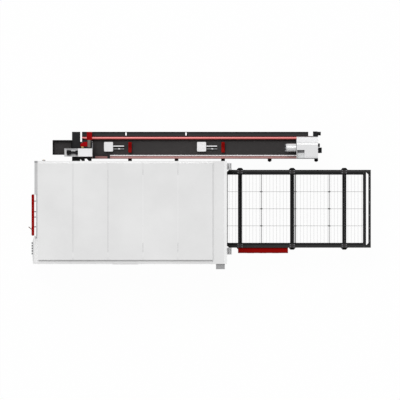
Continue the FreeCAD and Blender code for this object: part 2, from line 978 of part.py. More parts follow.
def table_posts():
    posts = []
    for x in post_places:
        posts.append(table_post(x, carrier_rear, 1))
        posts.append(table_post(x, carrier_front, -1))
    return group(posts)


def cross_bars():
    z = (cross_bar_bottom, cross_bar_bottom + cross_bar_height)
    y = (carrier_front, carrier_rear)
    return [block(around(x, post_width), y, z) for x in post_places]


def end_bars():
    """Stop bar at the pallet's end, and the outer end bar with its corner gussets."""
    y = (carrier_front, carrier_rear)
    z = (upper_level, upper_level + end_bar_height)
    stop_left = pallet_left + pallet_length + slide_gap
    stop = block((stop_left, stop_left + stop_bar_width), y, z)
    outline = [
        (end_bar_left, y[0] + end_gusset),
        (end_bar_left - end_gusset, y[0]),
        (table_right, y[0]),
        (table_right, y[1]),
        (end_bar_left - end_gusset, y[1]),
        (end_bar_left, y[1] - end_gusset),
    ]
    return [stop, prism_z(outline, z)]


def drive_cover():
    """Cover of the pallet chain drive, with bevelled outer edges."""
    outer = carrier_front - rail_width
    x = (header_face + drive_cover_left, header_face + drive_cover_left + drive_cover_length)
    y = (outer - drive_cover_depth, outer)
    cover = block(x, y, (drive_cover_bottom, drive_cover_bottom + drive_cover_height))
    along = point(1, 0, 0)
    edges = straight_edges(cover, along, lambda p: abs(p.y - y[0]) < pick)
    return cover.makeChamfer(drive_cover_chamfer, edges)


def guide_post(inner, side):
    """Upright beside the opening, with two deep grooves for the curtain strips."""
    outer = inner + side * guide_post_depth
    x = (header_face, header_face + guide_post_width)
    post = block(x, sorted((inner, outer)), (wall_bottom, guide_post_top))
    fin = (guide_post_width - 2 * guide_groove) / 3
    for i in range(2):
        start = x[0] + fin * (i + 1) + guide_groove * i
        groove_y = sorted((outer, outer - side * guide_groove_depth))
        groove = block((start, start + guide_groove), groove_y, (wall_bottom, guide_post_top))
        post = post.cut(groove)
    return post


def guide_posts():
    rear = carrier_rear + rail_width
    front = carrier_front - rail_width
    return group([guide_post(rear, 1), guide_post(front, -1)])


# ---------- machine bed and gantry ----------
def bed_beams():
    """Two longitudinal beams, each with brackets that hold the cabinet's long wall."""
    beams = []
    for inner, side, wall_face in (
        (carrier_rear, 1, cabinet_rear - wall),
        (carrier_front, -1, cabinet_front + wall),
    ):
        outer = inner + side * bed_beam_width
        beam = block((bed_left, bed_right), sorted((inner, outer)), (0, bed_beam_height))
        top = bed_beam_height - bracket_drop
        spacing = (cabinet_right - bed_left - bracket_width) / bracket_count
        for i in range(bracket_count):
            x = bed_left + bracket_width + spacing * i
            bracket = block(
                (x, x + bracket_width), sorted((outer, wall_face)), (top - bracket_height, top)
            )
            beam = joined(beam, bracket)
        beams.append(beam)
    return group(beams)


def bed_members():
    z = (bed_member_bottom, bed_member_bottom + bed_member_height)
    spacing = (bed_right - bed_left - bed_member_width) / (bed_member_count - 1)
    members = []
    for i in range(bed_member_count):
        x = bed_left + spacing * i
        members.append(block((x, x + bed_member_width), (carrier_front, carrier_rear), z))
    return group(members)


def gantry_rails():
    """Ground steel rails on the bed beams."""
    z = (bed_beam_height, bed_beam_height + gantry_rail_size)
    x = (bed_left + rail_end_inset, bed_right - rail_end_inset)
    return [
        block(x, around(gantry_rail_rear, gantry_rail_size), z),
        block(x, around(gantry_rail_front, gantry_rail_size), z),
    ]


def gantry_beam():
    """Cross beam with a sloped back, weight-saving pockets and four rail sliders."""
    top = gantry_bottom + gantry_height
    outline = [
        (gantry_left, gantry_bottom),
        (gantry_right, gantry_bottom),
        (gantry_right, top),
        (gantry_left + gantry_slope, top),
        (gantry_left, top - gantry_slope),
    ]
    beam = prism_y(outline, (gantry_front, gantry_rear))
    bay = (gantry_rear - gantry_front) / gantry_pocket_count
    depth = (gantry_left, gantry_left + gantry_pocket_depth)
    pocket_z = (gantry_bottom + gantry_pocket_low, gantry_bottom + gantry_pocket_high)
    for i in range(gantry_pocket_count):
        middle = gantry_front + bay * (i + 0.5)
        beam = beam.cut(block(depth, around(middle, gantry_pocket_length), pocket_z))
    rail_top_z = bed_beam_height + gantry_rail_size
    z = (rail_top_z + slide_gap, gantry_bottom)
    for y in (gantry_rail_front, gantry_rail_rear):
        for x in (gantry_left, gantry_right - slider_length):
            beam = joined(beam, block((x, x + slider_length), around(y, slider_width), z))
    return beam


def head_carriage():
    """Carriage on the gantry's front, with bevelled upper corners."""
    x = (gantry_right + slide_gap, carriage_face)
    y = around(carriage_middle, carriage_width)
    top = carriage_bottom + carriage_height
    plate = block(x, y, (carriage_bottom, top))
    edges = straight_edges(plate, point(1, 0, 0), lambda p: p.z > top - pick)
    return plate.makeChamfer(carriage_bevel, edges)


def cutting_head():
    """Head body with its collimator tube and a turned nozzle."""
    x = (carriage_face + slide_gap, carriage_face + slide_gap + head_depth)
    y = around(carriage_middle, head_width)
    body = block(x, y, (head_bottom, head_bottom + head_height))
    axis = (x[0] + x[1]) / 2
    profile = [
        point(0, 0, nozzle_tip),
        point(nozzle_tip_radius, 0, nozzle_tip),
        point(nozzle_radius, 0, nozzle_tip + nozzle_cone),
        point(nozzle_radius, 0, head_bottom),
        point(0, 0, head_bottom),
    ]
    outline = Part.Face(Part.makePolygon(profile + profile[:1]))
    nozzle = outline.revolve(point(0, 0, 0), point(0, 0, 1), 360)
    nozzle.translate(point(axis, carriage_middle, 0))
    tube_z = (head_bottom + head_height, head_bottom + head_height + collimator_length)
    collimator = rod_z(axis, carriage_middle, tube_z, collimator_radius)
    return joined(body, nozzle, collimator)


# ---------- tube unit ----------
def tube_bed():
    """Long bed beam with pressed side fields, foot lugs, support wells and an end link."""
    x = (tube_bed_left, tube_bed_right)
    y = (tube_bed_front, tube_bed_rear)
    bed = block(x, y, (tube_bed_bottom, tube_bed_top))
    bay = tube_bed_length / side_field_count
    fields = []
    for i in range(side_field_count):
        field_x = around(x[0] + bay * (i + 0.5), side_field_length)
        field_z = (tube_bed_bottom + side_field_margin, tube_bed_top - side_field_margin)
        fields.append(block(field_x, (y[0], y[0] + side_field_depth), field_z))
        fields.append(block(field_x, (y[1] - side_field_depth, y[1]), field_z))
    for place in support_places:
        depth = support_stem_length + slide_gap
        well_z = (tube_bed_top - depth, tube_bed_top)
        well_width = support_stem_width + 2 * slide_gap
        fields.append(block(around(place, well_width), around(tube_axis, well_width), well_z))
    bed = bed.cut(group(fields))
    lug_z = (lug_bottom, lug_bottom + lug_thickness)
    reach = foot_outset + stem_width / 2
    lugs = [block(
        (stand_right, x[0]), (y[0], y[0] + link_span), (link_bottom, link_top)
    )]
    for place in foot_places:
        lug_x = around(place, lug_width)
        lugs.append(block(lug_x, (y[0] - reach, y[0]), lug_z))
        lugs.append(block(lug_x, (y[1], y[1] + reach), lug_z))
    return joined(bed, *lugs)


def tube_bed_feet():
    """Round pads with their stems, under the bed's lugs."""
    feet = []
    for place in foot_places:
        for y in (tube_bed_front - foot_outset, tube_bed_rear + foot_outset):
            pad = disc(place, y, (0, pad_thickness), pad_radius, pad_sides)
            stem = block(around(place, stem_width), around(y, stem_width), (pad_thickness, lug_bottom))
            feet.append(joined(pad, stem))
    return group(feet)


def rounded_rail(x, y, z, radius):
    rail = block(x, y, z)
    along = point(1, 0, 0)
    edges = straight_edges(rail, along, lambda p: p.z > z[1] - pick)
    return rail.makeFillet(radius, edges)


def rear_guide_rail():
    x = (tube_bed_left, tube_bed_right - rail_right_inset)
    y = (tube_bed_rear - rear_rail_width, tube_bed_rear)
    return rounded_rail(x, y, (tube_bed_top, rear_rail_top), rear_rail_round)


def front_guide_rail():
    """Rail with rounded top edges and two notches for the legs of its clamp."""
    x = (chuck_right, tube_bed_right - rail_right_inset)
    y = (tube_bed_front, front_rail_rear)
    rail = rounded_rail(x, y, (tube_bed_top, front_rail_top), front_rail_round)
    for leg_x in clamp_legs:
        rail = rail.cut(block(leg_x, y, (front_rail_top - clamp_depth, front_rail_top)))
    return rail


def rail_clamp():
    """Clamp over the steel rail, its two legs let into the front guide rail."""
    top = front_rail_top - slide_gap
    bar_y = (front_rail_rear, linear_rail_front + linear_rail_width + clamp_setback)
    bar = block(clamp_x, bar_y, (tube_bed_top + linear_rail_height, top))
    leg_y = (tube_bed_front + clamp_setback, front_rail_rear)
    legs = [block(leg_x, leg_y, (front_rail_top - clamp_depth, top)) for leg_x in clamp_legs]
    return joined(bar, *legs)


def tube_linear_rail():
    """Ground steel rail behind the front guide rail."""
    x = (chuck_right, tube_bed_right - rail_right_inset)
    y = (linear_rail_front, linear_rail_front + linear_rail_width)
    return block(x, y, (tube_bed_top, tube_bed_top + linear_rail_height))


def stadium(x, y, width, length, z):
    """Upright slot shape, long along Y."""
    straight = (length - width) / 2
    middle = block(around(x, width), around(y, 2 * straight), z)
    ends = [rod_z(x, y + side * straight, z, width / 2) for side in (-1, 1)]
    return joined(middle, *ends)


def cable_tray():
    """Open tray along the bed's rear side, with two oval slots in its floor."""
    x = (tube_bed_left, tube_bed_left + cable_tray_length)
    y = (tube_bed_rear, tube_bed_rear + cable_tray_width)
    low = cable_tray_top - cable_tray_height
    tray = block(x, y, (low, cable_tray_top))
    inner_y = (y[0] + cable_tray_wall, y[1] - cable_tray_wall)
    inner_x = (x[0] + cable_tray_wall, x[1] - cable_tray_wall)
    tray = tray.cut(block(inner_x, inner_y, (low + cable_tray_wall, cable_tray_top)))
    middle = (y[0] + y[1]) / 2
    z = (low, cable_tray_top)
    for place in tray_slot_places:
        slot_x = tube_bed_left + place
        tray = tray.cut(stadium(slot_x, middle, tray_slot_width, tray_slot_length, z))
    return tray


def tube_support(place):
    """Lifting support: a V block on a square stem that runs in the bed's well."""
    y = around(tube_axis + support_offset, support_span)
    low = support_top - support_head
    valley = support_top - support_notch
    outline = [
        (y[0], low),
        (y[1], low),
        (y[1], support_top),
        (tube_axis + support_notch_width / 2, support_top),
        (tube_axis, valley),
        (tube_axis - support_notch_width / 2, support_top),
        (y[0], support_top),
    ]
    head = prism_x(outline, around(place, support_width))
    head = head.makeChamfer(support_bevel, straight_edges(head, point(0, 0, 1), lambda p: True))
    stem_z = (tube_bed_top - support_stem_length, low)
    stem_x = around(place, support_stem_width)
    stem = block(stem_x, around(tube_axis, support_stem_width), stem_z)
    return joined(head, stem)


def support_lift_units():
    """Drive block of each support, with its two guide rods."""
    units = []
    z = (tube_bed_top, tube_bed_top + lift_block_height)
    for place in support_places:
        left = place - lift_block_offset
        y = around(tube_axis + lift_block_side_offset, lift_block_span)
        body = block((left, left + lift_block_length), y, z)
        edges = straight_edges(body, point(0, 0, 1), lambda p: True)
        body = body.makeChamfer(lift_block_bevel, edges)
        start = left + lift_block_length
        rods = []
        height = tube_bed_top + lift_block_height / 2
        for side in (-1, 1):
            y_place = tube_axis + lift_rod_side_offset + side * lift_rod_pitch / 2
            rod_z_span = around(height, lift_rod_width)
            rod_x_span = (start, start + lift_rod_length)
            rods.append(block(rod_x_span, around(y_place, lift_rod_width), rod_z_span))
        units.append(joined(body, *rods))
    return group(units)


def chuck_stand():
    """Stand that ties the front chuck to the cabinet, with an arch and a motor column."""
    x = (stand_left, stand_right)
    y = (cabinet_rear, stand_rear)
    body = block(x, y, (0, stand_top))
    arch = block(x, around((y[0] + y[1]) / 2, stand_arch_width), (0, stand_arch_height))
    column_front = drive_box_front + column_setback
    column_y = (column_front, column_front + column_width)
    column_x = (x[0] + column_inset, x[0] + column_inset + column_width)
    column = block(column_x, column_y, (stand_top, chuck_top))
    return joined(body.cut(arch), column)


def wall_ties():
    """Gusset brackets from the bed's front face to the cabinet's rear wall."""
    wall_face = cabinet_rear - panel_recess
    low = link_top - tie_height
    outline = [
        (wall_face, low),
        (tube_bed_front, link_top - tie_nose_height),
        (tube_bed_front, link_top),
        (wall_face, link_top),
    ]
    ties = []
    for i in range(tie_count):
        left = stand_right + tie_pitch * i
        tie = prism_x(outline, (left, left + tie_width))
        corner = [(left, wall_face), (left + tie_bevel, wall_face), (left, wall_face + tie_bevel)]
        ties.append(tie.cut(prism_z(corner, (low, link_top))))
    return ties


def front_chuck_housing():
    """Chuck housing with a bevelled shoulder and a rib over it, bored for the rotor."""
    half = chuck_housing_width / 2
    corner = chuck_housing_corner
    outline = [
        (tube_axis - half, tube_bed_top),
        (tube_axis + half, tube_bed_top),
        (tube_axis + half, chuck_top - corner),
        (tube_axis + half - corner, chuck_top),
        (tube_axis - half, chuck_top),
    ]
    x = (chuck_left, chuck_right)
    body = prism_x(outline, x)
    shoulder = tube_axis + half - corner
    rib_outline = [
        (tube_axis - rib_lap, chuck_top),
        (tube_axis - rib_lap, chuck_top + rib_thickness),
        (shoulder + rib_thickness / 2, chuck_top + rib_thickness),
        (tube_axis + half, chuck_top - corner + 3 * rib_thickness / 2),
        (tube_axis + half, chuck_top - corner),
        (shoulder, chuck_top),
    ]
    rib_x = (chuck_left + rib_inset, chuck_left + rib_inset + rib_width)
    body = joined(body, prism_x(rib_outline, rib_x))
    return body.cut(rod_x(x, tube_axis, tube_axis_height, front_rotor_radius))


def chuck_guard():
    """Guard plate on the chuck housing's top, reaching out towards the stand."""
    left = chuck_left - guard_overhang
    right = left + guard_length
    y = tube_axis + guard_offset
    outline = [
        (left, y),
        (right, y),
        (right, y + guard_width),
        (left + 2 * guard_overhang, y + guard_width),
        (left, y + guard_nose_width),
    ]
    return prism_z(outline, (chuck_top, chuck_top + guard_thickness))


def front_chuck_rotor():
    """Turned chuck body with a through bore and crossed guide slots in its face."""
    radius = front_rotor_radius - rotor_gap
    x = (chuck_left - front_rotor_proud, chuck_right + front_rotor_proud)
    body = rod_x(x, tube_axis, tube_axis_height, radius)
    body = body.cut(rod_x(x, tube_axis, tube_axis_height, front_rotor_bore))
    slot_x = (chuck_right + front_rotor_proud / 2, x[1])
    reach = around(tube_axis, 2 * radius)
    reach_z = around(tube_axis_height, 2 * radius)
    wide = block(slot_x, reach, around(tube_axis_height, front_slot_width))
    tall = block(slot_x, around(tube_axis, front_slot_width), reach_z)
    return body.cut(wide).cut(tall)


def front_drive_box():
    """White drive cover on the chuck housing, with an open motor tray beside it."""
    y = (drive_box_front, drive_box_front + drive_box_width)
    top = chuck_top + drive_box_height
    cover = block((drive_box_left, drive_box_right), y, (chuck_top, top))
    edges = straight_edges(cover, point(1, 0, 0), lambda p: p.z > top - pick)
    cover = cover.makeChamfer(drive_box_bevel, edges)
    tray_x = (drive_box_left - motor_tray_length, drive_box_left)
    tray = block(tray_x, y, (chuck_top, chuck_top + motor_tray_rim))
    inner_x = (tray_x[0] + cable_tray_wall, tray_x[1])
    inner_y = (y[0] + cable_tray_wall, y[1] - cable_tray_wall)
    floor = chuck_top + cable_tray_wall
    tray = tray.cut(block(inner_x, inner_y, (floor, chuck_top + motor_tray_rim)))
    return joined(cover, tray)


def front_chuck_motor():
    """Square servo motor, narrower gearbox and the flange on the drive box."""
    left = drive_box_left - motor_tray_length + motor_left_inset
    middle_y = drive_box_front + drive_box_width / 2
    middle_z = chuck_top + cable_tray_wall + motor_size / 2
    motor = block(
        (left, left + motor_length), around(middle_y, motor_size), around(middle_z, motor_size)
    )
    edges = straight_edges(motor, point(1, 0, 0), lambda p: True)
    motor = motor.makeChamfer(motor_bevel, edges)
    flange_left = drive_box_left - motor_flange_length
    gearbox_x = (left + motor_length, flange_left)
    gearbox = block(gearbox_x, around(middle_y, gearbox_size), around(middle_z, gearbox_size))
    flange_y = around(middle_y, motor_flange_size)
    flange_z = around(middle_z, motor_flange_size)
    flange = block((flange_left, drive_box_left), flange_y, flange_z)
    return joined(motor, gearbox, flange)


def outfeed_tray():
    """Open tray for cut pieces on the stand's outer side, with one leg."""
    x = (stand_left - outfeed_length, stand_left)
    front = cabinet_rear + outfeed_front_offset
    y = (front, front + outfeed_width)
    z = (outfeed_bottom, outfeed_bottom + outfeed_height)
    tray = block(x, y, z)
    inner_x = (x[0] + outfeed_wall, x[1] - outfeed_wall)
    inner_y = (y[0] + outfeed_wall, y[1] - outfeed_wall)
    tray = tray.cut(block(inner_x, inner_y, (z[0] + outfeed_wall, z[1])))
    leg_x = (x[0] + outfeed_leg, x[0] + 2 * outfeed_leg)
    leg = block(leg_x, around((y[0] + y[1]) / 2, outfeed_leg), (0, z[0]))
    return joined(tray, leg)


def rail_end_bracket():
    """Angle bracket over the rear guide rail's left end, down into the cable tray."""
    x = (tube_bed_left + end_bracket_inset, tube_bed_left + end_bracket_inset + end_bracket_length)
    rear = tube_bed_rear + cable_tray_width
    top = rear_rail_top + end_bracket_thickness
    front = tube_bed_rear - rear_rail_width + end_bracket_setback
    plate = block(x, (front, rear), (rear_rail_top, top))
    foot = cable_tray_top - cable_tray_height + cable_tray_wall
    web_y = (rear - cable_tray_wall - end_bracket_thickness, rear - cable_tray_wall)
    web = block(x, web_y, (foot, rear_rail_top))
    return joined(plate, web)


# ---------- rear chuck ----------
def rear_chuck_carriage():
    """White carriage box that rides on both rails, over a tunnel for the tube supports."""
    x = (rear_box_left, rear_box_right)
    y = (tube_bed_front, rear_box_rear)
    rail_end = (front_rail_rear, tube_bed_rear - rear_rail_width)
    tunnel = (rail_end[0] + tunnel_front_gap, rail_end[1] - tunnel_rear_gap)
    outline = [
        (y[0], front_rail_top + slide_gap),
        (rail_end[0], front_rail_top + slide_gap),
        (tunnel[0], rear_box_tunnel_top),
        (tunnel[1], rear_box_tunnel_top),
        (rail_end[1], rear_rail_top + slide_gap),
        (y[1], rear_rail_top + slide_gap),
        (y[1], rear_box_top - rear_box_step),
        (y[1] - rear_box_step / 2, rear_box_top - rear_box_step),
        (y[1] - 2 * rear_box_step, rear_box_top - rear_box_step / 2),
        (y[1] - 3 * rear_box_step, rear_box_top),
        (y[0] + rear_box_bevel, rear_box_top),
        (y[0], rear_box_top - rear_box_bevel),
    ]
    body = prism_x(outline, x)
    seat_x = (x[0], x[0] + rear_nose_depth + slide_gap)
    seat = rod_x(seat_x, tube_axis, tube_axis_height, rear_nose_radius + rotor_gap)
    recess_x = (x[0] + rear_recess_inset, x[0] + rear_recess_inset + rear_recess_length)
    recess_front = y[0] + rear_recess_setback
    recess_y = (recess_front, recess_front + rear_recess_width)
    low = rear_box_top - rear_recess_depth
    recess = block(recess_x, recess_y, (low, rear_box_top))
    return body.cut(seat).cut(recess)


def jaw_slot(angle):
    """Radial guide slot of one jaw in the rear nose."""
    x = (rear_nose_left, rear_nose_left + jaw_key_depth + slide_gap)
    y = (tube_axis, tube_axis + rear_nose_radius)
    z = around(tube_axis_height, jaw_key_width + 2 * slide_gap)
    slot = block(x, y, z)
    slot.rotate(point(0, tube_axis, tube_axis_height), point(1, 0, 0), angle)
    return slot


def rear_chuck_rotor():
    """Turned chuck nose with its bore, a bevelled rim and four radial jaw slots."""
    x = (rear_nose_left, rear_box_left + rear_nose_depth)
    body = rod_x(x, tube_axis, tube_axis_height, rear_nose_radius)
    rim = [e for e in body.Edges if e.Closed and e.CenterOfMass.x < x[0] + pick]
    body = body.makeChamfer(jaw_bevel / 2, rim[:1])
    body = body.cut(rod_x(x, tube_axis, tube_axis_height, rear_nose_bore))
    for i in range(4):
        body = body.cut(jaw_slot(90 * i))
    return body


def rear_jaw(angle):
    """Clamping jaw: stepped block with a key in the nose's slot."""
    x = (rear_nose_left - slide_gap - jaw_thickness, rear_nose_left - slide_gap)
    outline = [
        (tube_axis + jaw_inner, tube_axis_height - jaw_width / 2),
        (tube_axis + jaw_outer, tube_axis_height - jaw_width / 2),
        (tube_axis + jaw_outer, tube_axis_height + jaw_width / 2),
        (tube_axis + jaw_inner, tube_axis_height + jaw_width / 2),
        (tube_axis + jaw_inner - jaw_bevel, tube_axis_height + jaw_width / 4),
        (tube_axis + jaw_inner - jaw_bevel, tube_axis_height - jaw_width / 4),
    ]
    body = prism_x(outline, x)
    key_x = (x[1], rear_nose_left + jaw_key_depth)
    key_y = (tube_axis + rear_nose_bore + jaw_key_margin, tube_axis + jaw_outer)
    key = block(key_x, key_y, around(tube_axis_height, jaw_key_width))
    jaw = joined(body, key)
    jaw.rotate(point(0, tube_axis, tube_axis_height), point(1, 0, 0), angle)
    return jaw


def rear_chuck_motors():
    """Turning motor and small motor on the box's end, feed gearbox and motor behind it."""
    turn_y = around(tube_axis + turn_motor_side_offset, turn_motor_width)
    turn_z = (turn_motor_bottom, turn_motor_bottom + turn_motor_width)
    turn = block((rear_box_right, rear_box_right + turn_motor_length), turn_y, turn_z)
    edges = straight_edges(turn, point(1, 0, 0), lambda p: True)
    turn = turn.makeChamfer(motor_bevel, edges)
    small_y = around(tube_axis + small_motor_side_offset, small_motor_width)
    small_z = around(turn_motor_bottom + turn_motor_width / 2, small_motor_width)
    small = block((rear_box_right, rear_box_right + small_motor_length), small_y, small_z)
    left = rear_box_left + feed_left_inset
    gear_x = (left, left + feed_gearbox_length)
    outer = rear_box_rear + feed_motor_depth
    feed_z = (feed_motor_bottom, feed_motor_bottom + feed_motor_height)
    bed_side = tube_bed_rear + feed_bed_gap
    over_rail = rear_rail_top + slide_gap
    outline = [
        (rear_box_rear, over_rail),
        (bed_side, over_rail),
        (bed_side, feed_z[0]),
        (outer, feed_z[0]),
        (outer, feed_z[1]),
        (rear_box_rear, feed_z[1]),
    ]
    gearbox = prism_x(outline, gear_x)
    motor_x = (gear_x[1], gear_x[1] + feed_motor_length)
    motor_y = (bed_side + outer) / 2
    motor = rod_x(motor_x, motor_y, (feed_z[0] + feed_z[1]) / 2, feed_motor_radius)
    return group([turn, small, joined(gearbox, motor)])


# ---------- all nodes ----------
front_panels = long_wall(cabinet_front, cabinet_front + wall)
middle = panel_count // 2
front_panels[middle] = window_panel(front_panels[middle])
rear_panels = long_wall(cabinet_rear, cabinet_rear - wall)
inside_left = pallet_left - pallet_travel

nodes = {
    "base_frame": base_frame(),
    "front_wall_panels": group(front_panels),
    "viewing_window": viewing_window(),
    "rear_wall_panels": group(rear_panels),
    "door_wall_panels": door_wall(),
    "top_rim": top_rim(),
    "roof_panels": roof_panels(),
    "exchange_header": exchange_header(),
    "lift_door": lift_door(),
    "sliding_door": sliding_door(),
    "sliding_door_track": door_track(),
    "sliding_door_hangers": door_hangers(),
    "sliding_door_handle": door_handle(),
    "operator_cabinet": operator_cabinet(),
    "operator_screen": operator_screen(),
    "console_box": console_box(),
    "gas_inlet": gas_inlet(),
    "upper_pallet_frame": pallet_frame(pallet_left, upper_level),
    "upper_pallet_slats": pallet_slats(pallet_left, upper_level),
    "lower_pallet_frame": pallet_frame(inside_left, lower_level),
    "lower_pallet_slats": pallet_slats(inside_left, lower_level),
    "pallet_tracks": pallet_tracks(),
    "table_side_rails": table_side_rails(),
    "table_posts": table_posts(),
    "table_cross_bars": group(cross_bars() + end_bars()),
    "drive_cover": drive_cover(),
    "guide_posts": guide_posts(),
    "bed_beams": bed_beams(),
    "bed_cross_members": bed_members(),
    "linear_rails": group(gantry_rails() + [tube_linear_rail()]),
    "gantry_beam": gantry_beam(),
    "head_carriage": head_carriage(),
    "cutting_head": cutting_head(),
    "tube_bed": tube_bed(),
    "tube_bed_feet": tube_bed_feet(),
    "rear_guide_rail": rear_guide_rail(),
    "front_guide_rail": front_guide_rail(),
    "cable_tray": cable_tray(),
    "support_lift_units": support_lift_units(),
    "chuck_stand": group([chuck_stand(), rail_clamp()] + wall_ties()),
    "front_chuck_housing": front_chuck_housing(),
    "front_chuck_rotor": front_chuck_rotor(),
    "front_drive_box": front_drive_box(),
    "front_chuck_motor": front_chuck_motor(),
    "outfeed_tray": outfeed_tray(),
    "rail_end_bracket": group([rail_end_bracket(), chuck_guard()]),
    "rear_chuck_carriage": rear_chuck_carriage(),
    "rear_chuck_rotor": rear_chuck_rotor(),
    "rear_chuck_motors": rear_chuck_motors(),
}
for i, place in enumerate(support_places):
    nodes[f"tube_support_{i + 1}"] = tube_support(place)
for i, place in enumerate(button_places()):
    nodes[f"push_button_{i + 1}"] = push_button(place)
for i in range(4):
    nodes[f"rear_jaw_{i + 1}"] = rear_jaw(90 * i)

for name, shape in nodes.items():
    shape.exportStep(f"parts/{name}.step")
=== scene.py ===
"""Looks of the laser cutting machine: finishes, fasteners and small fittings round the fixed frame.

Metres, in the frame's own axes: +X towards the exchange table, +Y towards the tube unit, +Z up.
"""
import itertools
import json
import math

import bmesh
import bpy
from mathutils import Matrix, Vector

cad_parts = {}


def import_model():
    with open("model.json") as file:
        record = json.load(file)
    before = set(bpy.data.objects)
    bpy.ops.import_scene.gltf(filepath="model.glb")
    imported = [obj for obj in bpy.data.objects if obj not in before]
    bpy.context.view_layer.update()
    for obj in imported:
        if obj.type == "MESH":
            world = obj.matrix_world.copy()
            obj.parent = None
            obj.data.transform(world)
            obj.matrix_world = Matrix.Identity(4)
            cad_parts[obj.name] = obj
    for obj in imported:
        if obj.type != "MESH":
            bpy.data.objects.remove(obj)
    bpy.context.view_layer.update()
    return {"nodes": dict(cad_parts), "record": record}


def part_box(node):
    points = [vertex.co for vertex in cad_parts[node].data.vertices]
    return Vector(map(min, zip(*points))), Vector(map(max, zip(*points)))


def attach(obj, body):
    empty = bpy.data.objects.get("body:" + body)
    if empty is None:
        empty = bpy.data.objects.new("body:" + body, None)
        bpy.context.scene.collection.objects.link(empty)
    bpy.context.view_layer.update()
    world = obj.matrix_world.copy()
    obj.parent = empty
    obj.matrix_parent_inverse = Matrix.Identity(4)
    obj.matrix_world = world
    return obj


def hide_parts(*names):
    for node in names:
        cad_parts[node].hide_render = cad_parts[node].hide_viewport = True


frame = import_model()
nodes = frame["nodes"]

# ---------- camera: the photograph looks straight down ----------
PIXEL = 0.0225                 # real size of one pixel of the 400 px photograph
PHOTO_WIDTH = 400
VIEW_CENTRE = (0.00675, 0.00675)
CAMERA_HEIGHT = 12.0

# ---------- light: a dome that is brighter from the rear left ----------
DOME_SIDE = (-0.33, 0.94, 0.0)
DOME_LEVEL = 0.62
DOME_SWING = 0.7
PLAIN_WHITE = 1.0              # strength of the background as it is seen
FLOOR_WHITENESS = 0.975        # share of plain white in the floor as it is seen
FLOOR_COLOUR = (0.82, 0.82, 0.82, 1)
FLOOR_HALF = 40.0
KEY_STRENGTH = 1.3
KEY_SPREAD = 30                # degrees
KEY_DIRECTION = (0.20, -0.50, -1.0)

# ---------- sizes of the CAD that its nodes' boxes don't give ----------
WINDOW_WIDTH = 0.52
WINDOW_LOW = 1.15
WINDOW_HIGH = 1.57
PANEL_COUNT = 5
SLAT_COUNT = 40
SLAT_TEETH = 22
SLAT_TOOTH = 0.03
SLAT_THICKNESS = 0.005
SLAT_EDGE = 0.003              # sheared thickness of the toothed slats
TUBE_AXIS_Y = 1.183
TUBE_AXIS_Z = 1.1
NOSE_RADIUS = 0.09             # of the rear chuck's turning nose
# places along X
POST_PLACES = (0.907, 2.080, 3.253)
FOOT_PLACES = (-1.568, -0.521, 0.526, 1.573, 2.620)
SUPPORT_PLACES = (-1.568, 0.526)
TRAY_SLOTS = (-1.658, -0.308)
PALLET_BAYS = 4

# ---------- directions ----------
LEFT, RIGHT = (-1, 0, 0), (1, 0, 0)
FRONT, REAR = (0, -1, 0), (0, 1, 0)
UP = (0, 0, 1)


# ---------- materials ----------
def linear(level):
    """Linear value of an sRGB level from 0 to 255."""
    share = level / 255
    return share / 12.92 if share <= 0.04045 else ((share + 0.055) / 1.055) ** 2.4


def polar(radius, degrees):
    angle = math.radians(degrees)
    return radius * math.cos(angle), radius * math.sin(angle)


def srgb(red, green, blue):
    return (linear(red), linear(green), linear(blue), 1.0)


MATERIALS = {}
WORN_METAL = (0.33, 0.33, 0.34, 1.0)


def emptied(item):
    """The node tree of a material or world, without its nodes."""
    item.use_nodes = True
    item.node_tree.nodes.clear()
    return item.node_tree


def feed(tree, value, socket):
    """Another node's output linked into the socket, or a plain value set on it."""
    if isinstance(value, bpy.types.NodeSocket):
        tree.links.new(value, socket)
    else:
        socket.default_value = value


def add(tree, kind, **inputs):
    """New node, with its inputs by name, an underscore standing for a space."""
    node = tree.nodes.new("ShaderNode" + kind)
    for name, value in inputs.items():
        feed(tree, value, node.inputs[name.replace("_", " ")])
    return node


def calculate(tree, operation, *values):
    node = add(tree, "Math")
    node.operation = operation
    for value, socket in zip(values, node.inputs):
        feed(tree, value, socket)
    return node.outputs[0]


class Nodes:
    """Small helper that makes a material, keeps it by its name, and adds its nodes."""

    def __init__(self, name):
        MATERIALS[name] = bpy.data.materials.new(name)
        self.tree = emptied(MATERIALS[name])
        self.shader = self.new("BsdfPrincipled")
        self.new("OutputMaterial", Surface=self.shader.outputs["BSDF"])
        self.position = self.new("TexCoord").outputs["Object"]

    def new(self, kind, **inputs):
        return add(self.tree, kind, **inputs)

    def set(self, name, value):
        feed(self.tree, value, self.shader.inputs[name])

    def noise(self, scale, detail=3.0, roughness=0.5, stretch=(1, 1, 1)):
        place = self.new("Mapping", Scale=stretch, Vector=self.position).outputs["Vector"]
        return self.new(
            "TexNoise", Scale=scale, Detail=detail, Roughness=roughness, Vector=place
        ).outputs["Fac"]

    def spread(self, value, low, high, to_low, to_high):
        return self.new(
            "MapRange", From_Min=low, From_Max=high, To_Min=to_low, To_Max=to_high, Value=value
        ).outputs["Result"]

    def mix(self, factor, first, second):
        node = self.new("Mix")
        node.data_type = "RGBA"
        for name, value in (("Factor", factor), ("A", first), ("B", second)):
            feed(self.tree, value, node.inputs[name])
        return node.outputs["Result"]

    def bump(self, height, strength, distance, **normal):
        return self.new(
            "Bump", Strength=strength, Distance=distance, Height=height, **normal
        ).outputs["Normal"]

    def rounded_edges(self, radius):
        node = self.new("Bevel", Radius=radius)
        node.samples = 4
        return node.outputs["Normal"]


def shade(colour, factor):
    return (colour[0] * factor, colour[1] * factor, colour[2] * factor, 1.0)


